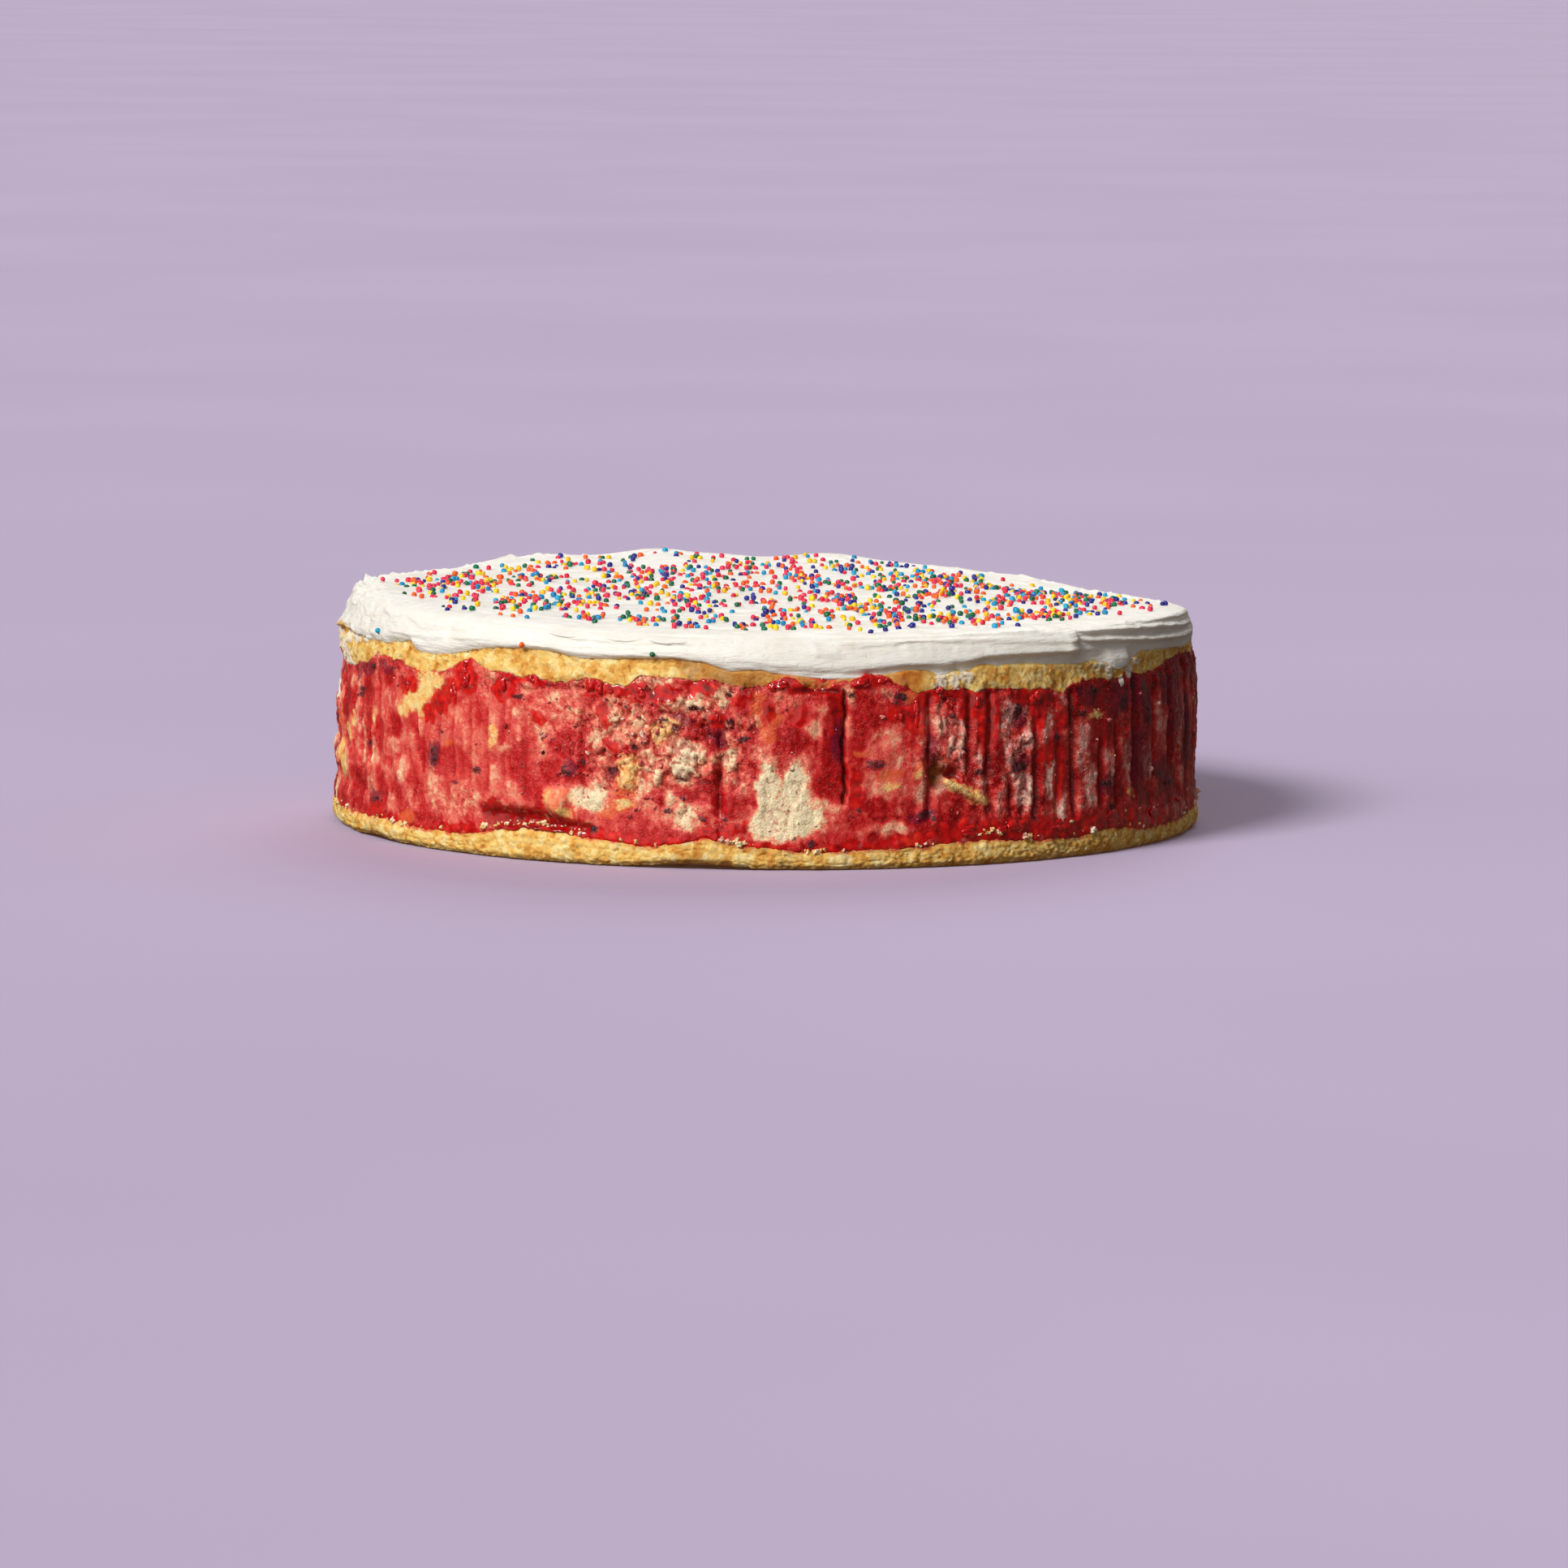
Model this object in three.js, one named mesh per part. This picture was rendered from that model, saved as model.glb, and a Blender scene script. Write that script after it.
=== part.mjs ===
// A round layer cake of the kind bakeries call a russian cake, about nine inches across.
//
// It has four layers, each a closed solid that runs right through the cake: a thin sponge at
// the bottom, a tall pink filling of soaked cake pieces and jelly, a thin sponge on top of that,
// and a white icing that caps the cake and hangs over the upper sponge as a torn lip.
// The wall of the filling carries upright flutes where the pleats of a tin liner pressed it.
//
// Millimetres, +Z up. The origin is the centre of the underside, and the cake stands on z = 0.
// Bearings are in degrees: 0 is the front (-Y), 90 is the right side (+X), 180 is the back.

import * as THREE from "three";

// ---- driving dimensions -------------------------------------------------------------------

const CAKE_RADIUS = 115.2; // wall of the filling: a nine inch cake
const SPONGE_RADIUS = 113.0; // the upper sponge stands in a little from the filling
const BASE_RADIUS = 115.4; // belly of the bottom sponge
const BASE_FOOT_RADIUS = 113.6; // the bottom sponge rounds in to this where it stands
const ICING_RADIUS = 114.7; // outside of the icing's lip
const RIM_RADIUS = 112.4; // where the icing turns from its side to its top

const BASE_TOP = 5.7; // mean top of the bottom sponge at the wall
const FILLING_TOP = 47.0; // mean top of the filling at the wall
const ICING_EDGE = 51.0; // mean lower edge of the icing
const RIM_HEIGHT = 59.8; // mean height of the icing's rim
const CROWN_HEIGHT = 60.2; // height of the icing at the middle

const BASE_TOP_INSIDE = 6.0; // the same levels away from the wall
const FILLING_TOP_INSIDE = 46.2;
const SPONGE_TOP_INSIDE = 53.0;
const LIP_OVERHANG = 1.3; // how far the sponge's top lies above the icing's edge

const GAP = 0.3; // between layers that touch

const RIM_FALL_RIGHT = 1.7; // the top leans: it falls to the right
const RIM_FALL_FRONT = 1.4; // and to the front

const FLUTE_PITCH_LEFT = 2.7; // degrees from pleat to pleat
const FLUTE_PITCH_RIGHT = 3.4;
const FLUTE_DEPTH_LEFT = 0.7;
const FLUTE_DEPTH_FRONT = 0.25;
const FLUTE_DEPTH_RIGHT = 1.3;
const FLUTE_DEPTH_BACK = 0.9;
const FLUTE_FOOT = 11; // the flutes run from here
const FLUTE_HEAD = 45; // to here
const CRACK_BEARING = 10; // one deep crack at the front
const CRACK_DEPTH = 2.4;
const CRACK_WIDTH = 0.9;

const ARCH_BEARING = -9; // the bottom sponge lifts off its board here
const ARCH_LIFT = 1.3;
const ARCH_WIDTH = 6;

const STEPS = 168; // points round the wall
const FRONT_DENSITY = 0.4; // the points lie closer together at the front

// ---- local swells of the layer edges: [bearing, half width, height] ------------------------

const BASE_SWELLS = [
  [-31, 6, 2.8],
  [-7, 3.4, 2.1],
  [11, 5, -1.0],
  [29, 4, 0.8],
  [62, 5, -1.4],
  [118, 7, 1.6],
  [161, 6, 2.2],
  [-148, 8, 1.7],
  [-104, 6, 1.2],
];
const FILLING_SWELLS = [
  [-60, 4, 1.3],
  [-43, 2.4, 3.2],
  [-28, 4, -0.6],
  [-12, 5, 1.8],
  [12.5, 3, 3.0],
  [22, 2.2, -2.2],
  [36, 9, -3.2],
  [57, 4, -1.2],
  [74, 4, 1.8],
  [104, 8, -2.2],
  [141, 6, 1.6],
  [174, 7, -1.8],
  [-152, 6, 1.9],
  [-118, 9, -1.6],
];
const ICING_SWELLS = [
  [-56, 4, 1.8],
  [-34, 9, 2.7],
  [-15, 7, 2.0],
  [9, 6, -1.7],
  [45, 8, -0.9],
  [108, 10, 1.4],
  [140, 9, -1.0],
  [172, 9, 1.5],
  [-140, 10, 1.2],
  [-100, 8, -0.9],
];
const ICING_DRIPS = [
  [23, 1.7, -4.0],
  [53, 2.4, -5.0],
  [77, 4, -2.0],
  [126, 2.4, -3.6],
  [-168, 2.2, -3.0],
  [-122, 2.8, -4.2],
];
const RIM_SWELLS = [
  [121, 17, -3.1],
  [146, 9, -1.2],
  [172, 5, 1.5],
  [-162, 7, 2.0],
  [-143, 6, 0.9],
  [-122, 11, -1.3],
  [-62, 6, 0.8],
  [-14, 7, 0.5],
];

// ---- helpers ------------------------------------------------------------------------------

const rad = THREE.MathUtils.degToRad;
const apart = (a, b) => ((((a - b + 180) % 360) + 360) % 360) - 180;
const hump = (t, at, width) => Math.exp(-((apart(t, at) / width) ** 2));
const swell = (list, t) =>
  list.reduce((sum, [at, width, height]) => sum + height * hump(t, at, width), 0);
const smooth = (a, b, x) => THREE.MathUtils.smoothstep(x, a, b);
const mix = THREE.MathUtils.lerp;

// ---- heights of the layers at the wall ----------------------------------------------------

const baseTop = (t) => BASE_TOP + swell(BASE_SWELLS, t) + 0.25 * Math.sin(rad(11 * t));
const fillingTop = (t) => FILLING_TOP + swell(FILLING_SWELLS, t) + 0.3 * Math.sin(rad(9 * t + 40));
const icingBrink = (t) => ICING_EDGE + swell(ICING_SWELLS, t) + 0.35 * Math.sin(rad(13 * t + 10));
const icingEdge = (t) => Math.max(icingBrink(t) + swell(ICING_DRIPS, t), fillingTop(t) + 0.6);
const spongeTop = (t) => Math.max(icingBrink(t) + LIP_OVERHANG, fillingTop(t) + 1.8);
const rimHeight = (t) =>
  RIM_HEIGHT -
  RIM_FALL_RIGHT * Math.sin(rad(t)) -
  RIM_FALL_FRONT * Math.cos(rad(t)) +
  swell(RIM_SWELLS, t);
const archLift = (t) => ARCH_LIFT * hump(t, ARCH_BEARING, ARCH_WIDTH) + 0.8 * hump(t, -61, 4);

// Each level keeps its wall height for the outer few millimetres, then settles to its inner height.
const inward = (wall, inside) => (t, r) => mix(inside, wall(t), smooth(88, 107, r));
const baseLevel = inward(baseTop, BASE_TOP_INSIDE);
const fillingLevel = inward(fillingTop, FILLING_TOP_INSIDE);
const spongeLevel = inward(spongeTop, SPONGE_TOP_INSIDE);
const crownLevel = (t, r) => {
  const x = r * Math.sin(rad(t));
  const y = -r * Math.cos(rad(t));
  const lean = CROWN_HEIGHT - (RIM_FALL_RIGHT * x - RIM_FALL_FRONT * y) / RIM_RADIUS;
  const waves =
    0.5 * Math.sin(x / 17 + y / 29 + 1) + 0.4 * Math.sin(y / 13 - x / 31) + 0.3 * Math.sin(x / 9 + 2);
  return mix(lean + waves * smooth(2, 30, r), rimHeight(t), smooth(60, 108, r));
};

// ---- the flutes of the filling's wall -----------------------------------------------------

function fluteDepth(t) {
  const right = smooth(16, 30, t) * (1 - smooth(150, 175, t));
  const left = smooth(-72, -66, t) * (1 - smooth(-34, -26, t));
  const back = 1 - smooth(-100, -72, t) + smooth(150, 175, t);
  return (
    FLUTE_DEPTH_RIGHT * right * (0.8 + 0.2 * Math.sin(rad(5 * t))) +
    FLUTE_DEPTH_LEFT * left +
    FLUTE_DEPTH_BACK * Math.min(back, 1) * (0.75 + 0.25 * Math.sin(rad(7 * t))) +
    FLUTE_DEPTH_FRONT
  );
}
function flute(t) {
  const pitch = t < 0 ? FLUTE_PITCH_LEFT : FLUTE_PITCH_RIGHT;
  const phase = (t - CRACK_BEARING) / pitch;
  return fluteDepth(t) * (0.5 + 0.5 * Math.cos(2 * Math.PI * phase));
}
function fillingWall(t, z) {
  const span = smooth(FLUTE_FOOT - 5, FLUTE_FOOT + 3, z) * (1 - smooth(FLUTE_HEAD - 5, FLUTE_HEAD + 1, z));
  const crack = CRACK_DEPTH * Math.exp(-((apart(t, CRACK_BEARING) / CRACK_WIDTH) ** 2));
  const belly =
    1.0 * Math.exp(-(((z - 8) / 4) ** 2)) * smooth(0.2, 1, Math.abs(Math.sin(rad(t)))) -
    1.1 * smooth(33, 46, z) +
    0.35 * Math.sin(rad(6 * t) + z / 8) +
    0.25 * Math.sin(rad(17 * t) - z / 5);
  return CAKE_RADIUS + belly - span * (flute(t) + crack);
}

// ---- closed solids from rings -------------------------------------------------------------

// Bearings of the points round a ring of n points, closer together at the front.
function bearing(i, n) {
  const u = (2 * Math.PI * i) / n - Math.PI;
  return THREE.MathUtils.radToDeg(u - FRONT_DENSITY * Math.sin(u));
}

// A solid from rings that run from the middle of its top, out, down its side and in to the
// middle of its underside. Each ring is {n, r, z}: r and z are functions of the bearing, and a
// ring with n = 1 is a single point on the axis. Neighbouring rings may differ in n by a factor.
function ringSolid(rings) {
  const position = [];
  const index = [];
  const starts = rings.map(({ n, r, z }) => {
    const start = position.length / 3;
    for (let i = 0; i < n; i++) {
      const t = bearing(i, n);
      const radius = n === 1 ? 0 : r(t);
      position.push(radius * Math.sin(rad(t)), -radius * Math.cos(rad(t)), z(t, radius));
    }
    return start;
  });
  for (let k = 0; k + 1 < rings.length; k++) {
    const [na, nb] = [rings[k].n, rings[k + 1].n];
    const a = (i) => starts[k] + (i % na);
    const b = (i) => starts[k + 1] + (i % nb);
    if (na === 1) for (let i = 0; i < nb; i++) index.push(a(0), b(i), b(i + 1));
    else if (nb === 1) for (let i = 0; i < na; i++) index.push(b(0), a(i + 1), a(i));
    else if (na <= nb) {
      const step = nb / na;
      const half = Math.floor(step / 2);
      for (let j = 0; j < na; j++) {
        for (let s = 0; s < step; s++)
          index.push(s < half ? a(j) : a(j + 1), b(j * step + s), b(j * step + s + 1));
        index.push(a(j), b(j * step + half), a(j + 1));
      }
    } else {
      const step = na / nb;
      const half = Math.floor(step / 2);
      for (let j = 0; j < nb; j++) {
        for (let s = 0; s < step; s++)
          index.push(s < half ? b(j) : b(j + 1), a(j * step + s + 1), a(j * step + s));
        index.push(b(j), b(j + 1), a(j * step + half));
      }
    }
  }
  const geometry = new THREE.BufferGeometry();
  geometry.setAttribute("position", new THREE.Float32BufferAttribute(position, 3));
  geometry.setIndex(index);
  geometry.computeVertexNormals();
  return geometry;
}

const ring = (r, z, n = STEPS) => ({ n, r: typeof r === "number" ? () => r : r, z });

// The rings of a level from its middle out to just inside the wall, raised by lift.
const disc = (level, lift) => {
  const z = (t, r) => level(t, r) + lift;
  return [ring(0, z, 1), ring(42, z, STEPS / 8), ring(84, z, STEPS / 4), ring(106, z, STEPS / 2)];
};
const outward = (level, lift) => disc(level, lift);
const inwardDisc = (level, lift) => disc(level, lift).reverse();

// ---- the four layers ----------------------------------------------------------------------

const half = GAP / 2;

const bottomSponge = ringSolid([
  ...outward(baseLevel, -half),
  ring(BASE_RADIUS - 0.8, (t) => baseTop(t) - half),
  ring(BASE_RADIUS, (t) => mix(archLift(t), baseTop(t), 0.62)),
  ring((t) => BASE_RADIUS - 0.3 + 0.3 * Math.sin(rad(23 * t)), (t) => mix(archLift(t), baseTop(t), 0.3)),
  ring(BASE_FOOT_RADIUS, (t) => archLift(t)),
  ...inwardDisc(() => 0, 0),
]);

const fillingRow = (part) => {
  const z = (t) => mix(baseTop(t) + half, fillingTop(t) - half, part);
  return ring((t) => fillingWall(t, z(t)), z);
};
const filling = ringSolid([
  ...outward(fillingLevel, -half),
  ring((t) => fillingWall(t, 47) - 0.4, (t) => fillingTop(t) - half),
  fillingRow(0.93),
  fillingRow(0.74),
  fillingRow(0.5),
  fillingRow(0.27),
  fillingRow(0.09),
  ring((t) => fillingWall(t, 6) - 0.4, (t) => baseTop(t) + half),
  ...inwardDisc(baseLevel, half),
]);

const topSponge = ringSolid([
  ...outward(spongeLevel, -half),
  ring(SPONGE_RADIUS - 0.6, (t) => spongeTop(t) - half),
  ring(SPONGE_RADIUS, (t) => mix(fillingTop(t), spongeTop(t), 0.5)),
  ring(SPONGE_RADIUS - 0.1, (t) => fillingTop(t) + half),
  ...inwardDisc(fillingLevel, half),
]);

// The icing's rim stands in more at the left, where its side was scraped to a slope.
const rimRadius = (t) => RIM_RADIUS - 2.6 * hump(t, -84, 26) + 0.35 * Math.sin(rad(7 * t + 20));
const icingRow = (part, radius) =>
  ring(
    (t) => mix(radius, rimRadius(t), smooth(0.35, 1, part)) + 0.25 * Math.sin(rad(9 * t) + 6 * part),
    (t) => mix(icingEdge(t), rimHeight(t), part),
  );
const crown = (r, n) => ring(r, crownLevel, n);
const icing = ringSolid([
  crown(0, 1),
  crown(20, STEPS / 8),
  crown(45, STEPS / 4),
  crown(70, STEPS / 2),
  crown(92, STEPS / 2),
  crown(105, STEPS),
  ring((t) => rimRadius(t) - 0.6, (t) => rimHeight(t)),
  icingRow(0.82, ICING_RADIUS + 0.4),
  icingRow(0.5, ICING_RADIUS - 0.7),
  icingRow(0.14, ICING_RADIUS),
  ring(ICING_RADIUS - 0.6, (t) => icingEdge(t)),
  ring(SPONGE_RADIUS + GAP + 0.05, (t) => icingEdge(t) + 0.4),
  ring(SPONGE_RADIUS + GAP, (t) => spongeTop(t) + half),
  ...inwardDisc(spongeLevel, half),
]);

// ---- the cake -----------------------------------------------------------------------------

const LAYERS = [
  ["bottom_layer", bottomSponge, 0xdcb765, 0.85],
  ["filling", filling, 0xb5323c, 0.5],
  ["top_layer", topSponge, 0xe0bd6e, 0.85],
  ["icing", icing, 0xf4f1ec, 0.45],
];

const cake = new THREE.Group();
for (const [name, geometry, color, roughness] of LAYERS) {
  const material = new THREE.MeshStandardMaterial({ color, roughness, metalness: 0 });
  const mesh = new THREE.Mesh(geometry, material);
  mesh.name = name;
  cake.add(mesh);
}

export default cake;
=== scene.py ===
# The looks of a round russian cake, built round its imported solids.
# Bearings are in degrees: 0 is the front (-Y), 90 the right side (+X). Lengths in the code are
# millimetres and are turned into metres when a mesh is made.
import math

import bpy
import numpy as np
from mathutils import Matrix


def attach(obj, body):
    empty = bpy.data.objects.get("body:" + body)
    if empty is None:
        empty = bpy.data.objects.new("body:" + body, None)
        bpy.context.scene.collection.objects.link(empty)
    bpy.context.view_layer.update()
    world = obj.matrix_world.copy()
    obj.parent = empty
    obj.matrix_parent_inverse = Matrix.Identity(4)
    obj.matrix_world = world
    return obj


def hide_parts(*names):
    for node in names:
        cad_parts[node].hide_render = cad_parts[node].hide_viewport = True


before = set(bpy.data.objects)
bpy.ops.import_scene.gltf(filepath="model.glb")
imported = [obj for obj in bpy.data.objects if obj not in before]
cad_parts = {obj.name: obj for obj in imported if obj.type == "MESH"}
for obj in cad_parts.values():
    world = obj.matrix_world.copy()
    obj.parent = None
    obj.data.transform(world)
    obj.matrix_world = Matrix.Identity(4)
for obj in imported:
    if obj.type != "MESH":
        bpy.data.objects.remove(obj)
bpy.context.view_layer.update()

MM = 0.001
R_WALL = 115.2
TAU = 2 * math.pi


# ------------------------------------------------------------------ noise

def _hash(ix, iy, iz, seed):
    with np.errstate(over="ignore"):
        h = (
            ix.view(np.uint64) * np.uint64(0x9E3779B97F4A7C15)
            ^ iy.view(np.uint64) * np.uint64(0xC2B2AE3D27D4EB4F)
            ^ iz.view(np.uint64) * np.uint64(0x165667B19E3779F9)
            ^ np.uint64((seed * 0x27D4EB2F165667C5 + 0x85EBCA77C2B2AE63) & 0xFFFFFFFFFFFFFFFF)
        )
        h ^= h >> np.uint64(29)
        h *= np.uint64(0xBF58476D1CE4E5B9)
        h ^= h >> np.uint64(32)
        h *= np.uint64(0x94D049BB133111EB)
        h ^= h >> np.uint64(29)
    return h


_G = np.array(
    [[1, 1, 0], [-1, 1, 0], [1, -1, 0], [-1, -1, 0], [1, 0, 1], [-1, 0, 1], [1, 0, -1], [-1, 0, -1],
     [0, 1, 1], [0, -1, 1], [0, 1, -1], [0, -1, -1], [1, 1, 0], [-1, 1, 0], [0, -1, 1], [0, -1, -1]],
    float,
)


def perlin(p, seed=0):
    """Gradient noise at points p (n, 3), about -1 to 1."""
    cell = np.floor(p)
    i = cell.astype(np.int64)
    f = p - cell
    u = f * f * f * (f * (f * 6 - 15) + 10)
    out = np.zeros(len(p))
    for dx in (0, 1):
        wx = u[:, 0] if dx else 1 - u[:, 0]
        for dy in (0, 1):
            wy = u[:, 1] if dy else 1 - u[:, 1]
            for dz in (0, 1):
                wz = u[:, 2] if dz else 1 - u[:, 2]
                h = _hash(
                    np.ascontiguousarray(i[:, 0] + dx),
                    np.ascontiguousarray(i[:, 1] + dy),
                    np.ascontiguousarray(i[:, 2] + dz),
                    seed,
                )
                g = _G[(h & np.uint64(15)).astype(np.int64)]
                d = g[:, 0] * (f[:, 0] - dx) + g[:, 1] * (f[:, 1] - dy) + g[:, 2] * (f[:, 2] - dz)
                out += wx * wy * wz * d
    return out


def fbm(p, size, seed=0, octaves=3, gain=0.5):
    """Noise whose largest lumps are about size millimetres."""
    p = np.asarray(p, float) / size
    out, amp, total = np.zeros(len(p)), 1.0, 0.0
    for k in range(octaves):
        out += amp * perlin(p * 2.03 ** k + 17.3 * k, seed + 101 * k)
        total += amp
        amp *= gain
    return out / total * 1.5


def cells(p, size, seed=0):
    """Cell noise: distance to the nearest and second nearest points, and a random number for each cell."""
    p = np.asarray(p, float) / size
    base = np.floor(p).astype(np.int64)
    f1 = np.full(len(p), 9.0)
    f2 = np.full(len(p), 9.0)
    who = np.zeros(len(p), np.uint64)
    for dx in (-1, 0, 1):
        for dy in (-1, 0, 1):
            for dz in (-1, 0, 1):
                c = base + np.array([dx, dy, dz])
                h = _hash(*(np.ascontiguousarray(c[:, k]) for k in range(3)), seed)
                j = np.stack([(h >> np.uint64(s)) & np.uint64(0xFFFF) for s in (0, 16, 32)], -1) / 65535.0
                d = np.sqrt((((c + 0.1 + 0.8 * j) - p) ** 2).sum(-1))
                near = d < f1
                f2 = np.where(near, f1, np.minimum(f2, d))
                who = np.where(near, h, who)
                f1 = np.where(near, d, f1)
    return f1, f2, ((who >> np.uint64(40)) & np.uint64(0xFFFF)).astype(float) / 65535.0


def smooth(a, b, x):
    t = np.clip((x - a) / (b - a), 0, 1)
    return t * t * (3 - 2 * t)


def mix(a, b, t):
    return a + (b - a) * t


def apart(a, b):
    return (a - b + 180.0) % 360.0 - 180.0


def hump(t, at, width):
    return np.exp(-((apart(t, at) / width) ** 2))


def spot(t, r, z):
    """A point on a bearing, at a radius and a height."""
    a = np.radians(t)
    return np.stack([r * np.sin(a), -r * np.cos(a), z + 0 * a], -1)


def ring_curve(points, blur):
    """A closed curve over the bearing from (bearing, value) points, softened by blur degrees."""
    at = np.array([p[0] for p in points], float)
    value = np.array([p[1] for p in points], float)
    order = np.argsort(at)
    fine = np.arange(-180, 180, 0.25)
    v = np.interp(fine, at[order], value[order], period=360)
    k = np.arange(-40, 41) * 0.25
    w = np.exp(-((k / blur) ** 2))
    w /= w.sum()
    v = np.convolve(np.concatenate([v[-40:], v, v[:40]]), w, "valid")
    return lambda t: np.interp(t, fine, v, period=360)


def pieced(t, knots):
    """Shapes given at some bearings, blended between them. knots: [(bearing, list), ...]."""
    at = np.array([k[0] for k in knots], float)
    table = np.array([k[1] for k in knots], float)
    return np.stack([np.interp(t, at, table[:, c], period=360) for c in range(table.shape[1])], -1)


# ------------------------------------------------------------------ heights round the cake

base_top_soft = ring_curve(
    [(-78, 5.5), (-65, 5.5), (-60, 5.7), (-57, 5.2), (-50, 5.0), (-45, 4.9), (-42, 5.2), (-40, 6.0),
     (-37, 7.2), (-33, 8.3), (-30, 8.3), (-27, 8.0), (-25, 7.2), (-22, 6.5), (-18, 5.8), (-14, 5.5),
     (-11, 6.3), (-9, 7.4), (-7, 7.9), (-5, 7.0), (-3, 6.2), (0, 5.6), (3, 5.0), (8, 4.6), (12, 4.9),
     (16, 5.2), (20, 5.4), (24, 6.0), (29, 6.4), (33, 5.9), (38, 5.2), (45, 5.0), (50, 6.2), (54, 5.8),
     (60, 4.2), (65, 4.2), (70, 4.6), (76, 5.2), (90, 5.6), (104, 6.1), (118, 7.2), (130, 6.0),
     (145, 5.4), (154, 6.6), (161, 7.6), (168, 6.8), (178, 5.6), (-170, 5.2), (-158, 6.2), (-148, 7.2),
     (-138, 6.2), (-125, 5.3), (-112, 6.4), (-104, 6.9), (-94, 6.0), (-85, 5.6)], 0.9)
fill_top_soft = ring_curve(
    [(-80, 44.5), (-76, 43.2), (-72, 44.0), (-70, 44.7), (-66, 45.7), (-64.6, 47.6), (-62, 48.4), (-60, 48.4),
     (-57, 48.0), (-55, 47.0), (-53, 46.6), (-48, 46.6), (-46, 47.0), (-45, 48.0), (-44, 49.3),
     (-42.5, 50.3), (-41, 49.8), (-40, 48.7), (-38.5, 47.8), (-36, 47.7), (-32, 47.6), (-30, 47.2),
     (-28, 46.4), (-26.5, 46.8), (-23, 47.4), (-22, 47.8), (-20.8, 46.8), (-19.5, 46.0), (-18, 46.2),
     (-17, 47.8), (-16, 48.6), (-11, 48.9), (-9.5, 48.2), (-8, 48.5), (-6.5, 48.5), (-5, 47.3),
     (-3.5, 46.9), (-2, 46.6), (-0.5, 47.0), (0.8, 48.4), (2.5, 49.4), (3.8, 49.0), (4.6, 46.8), (8, 46.7),
     (8.7, 47.5), (10, 48.3), (11.5, 49.1), (13.5, 49.4), (15, 49.2), (16, 48), (17, 47), (18.5, 46.3),
     (20, 45.0), (21, 45.3), (22, 46.6), (23, 46.6), (24, 45.0), (25.5, 45.9), (27, 45.3), (28, 44.8),
     (30, 45.3), (32, 44.8), (36, 44.2), (37, 44.5), (39, 44.0), (41, 43.3), (42.5, 43.5), (43, 44.5),
     (45, 45.0), (47, 45.8), (50.5, 45.2), (51.5, 44.8), (53, 45.0), (54.5, 47.2), (56, 46.3), (58, 45.5),
     (62, 45.5), (64, 46.5), (68, 47.6), (72, 48.5), (78, 47.5), (85, 47.0), (95, 46.2), (104, 45.0),
     (113, 45.6), (122, 46.5), (132, 47.6), (141, 48.4), (150, 47.4), (158, 46.8), (166, 45.9), (174, 45.4),
     (-176, 45.9), (-168, 46.6), (-160, 47.9), (-152, 48.6), (-144, 47.4), (-136, 46.8), (-126, 46.2),
     (-118, 45.6), (-109, 46.5), (-100, 46.9), (-90, 46.0)], 0.45)
icing_edge_soft = ring_curve(
    [(-86, 51.6), (-83, 52.2), (-80, 52.8), (-77, 53.2), (-74, 52.8), (-71, 52.0), (-68, 51.8), (-66, 51.6), (-64.4, 52.0),
     (-63.4, 51.8), (-60.5, 51.6), (-59, 52.3), (-57, 52.6), (-55, 53.2), (-53.9, 53.4), (-53.2, 51.5),
     (-52, 50.6), (-48, 50.7), (-46, 51.0), (-44, 51.8), (-42, 52.8), (-40, 53.4), (-37, 54.0), (-34, 54.3),
     (-31, 54.2), (-28, 54.0), (-26.5, 53.2), (-25, 52.8), (-22, 52.8), (-17, 53.2), (-12, 53.3),
     (-10.5, 52.8), (-8, 52.4), (-6.5, 51.5), (-5, 50.4), (-4, 50.2), (-2, 50.7), (-0.5, 50.8), (1, 49.9),
     (2.5, 49.4), (4, 49.2), (6, 49.0), (8, 48.7), (10, 48.5), (12, 48.8), (14, 49.2), (16, 49.6), (18, 50.2),
     (20, 50.4), (21.0, 50.3), (21.6, 49.8), (22.2, 49.1), (22.9, 48.6), (23.6, 48.7), (24.2, 49.3), (24.8, 49.7), (25.4, 49.5),
     (26, 49.4), (27.2, 49.6), (27.9, 50.6), (29, 51.0), (34, 50.6), (37, 50.5), (39, 50.0), (42, 49.8),
     (45, 49.4), (48.5, 49.7), (50, 49.2), (51, 48.4), (52, 47.7), (53, 47.3), (54.5, 47.8), (56, 48.8),
     (58, 50.0), (59.5, 50.9), (65, 50.4), (71, 50.0), (75, 49.2), (80, 49.5), (90, 50.5), (98, 51.2),
     (108, 52.0), (120, 51.0), (124.6, 49.8), (126, 48.0), (127.4, 49.8), (140, 50.0), (155, 51.2), (172, 52.3),
     (-178, 51.5), (-170, 50.6), (-168, 48.6), (-166, 50.4), (-150, 51.8), (-140, 52.1), (-128, 51.0),
     (-124, 48.8), (-121, 47.8), (-118, 50.2), (-108, 50.6), (-100, 50.4), (-90, 50.8)], 0.32)
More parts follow.
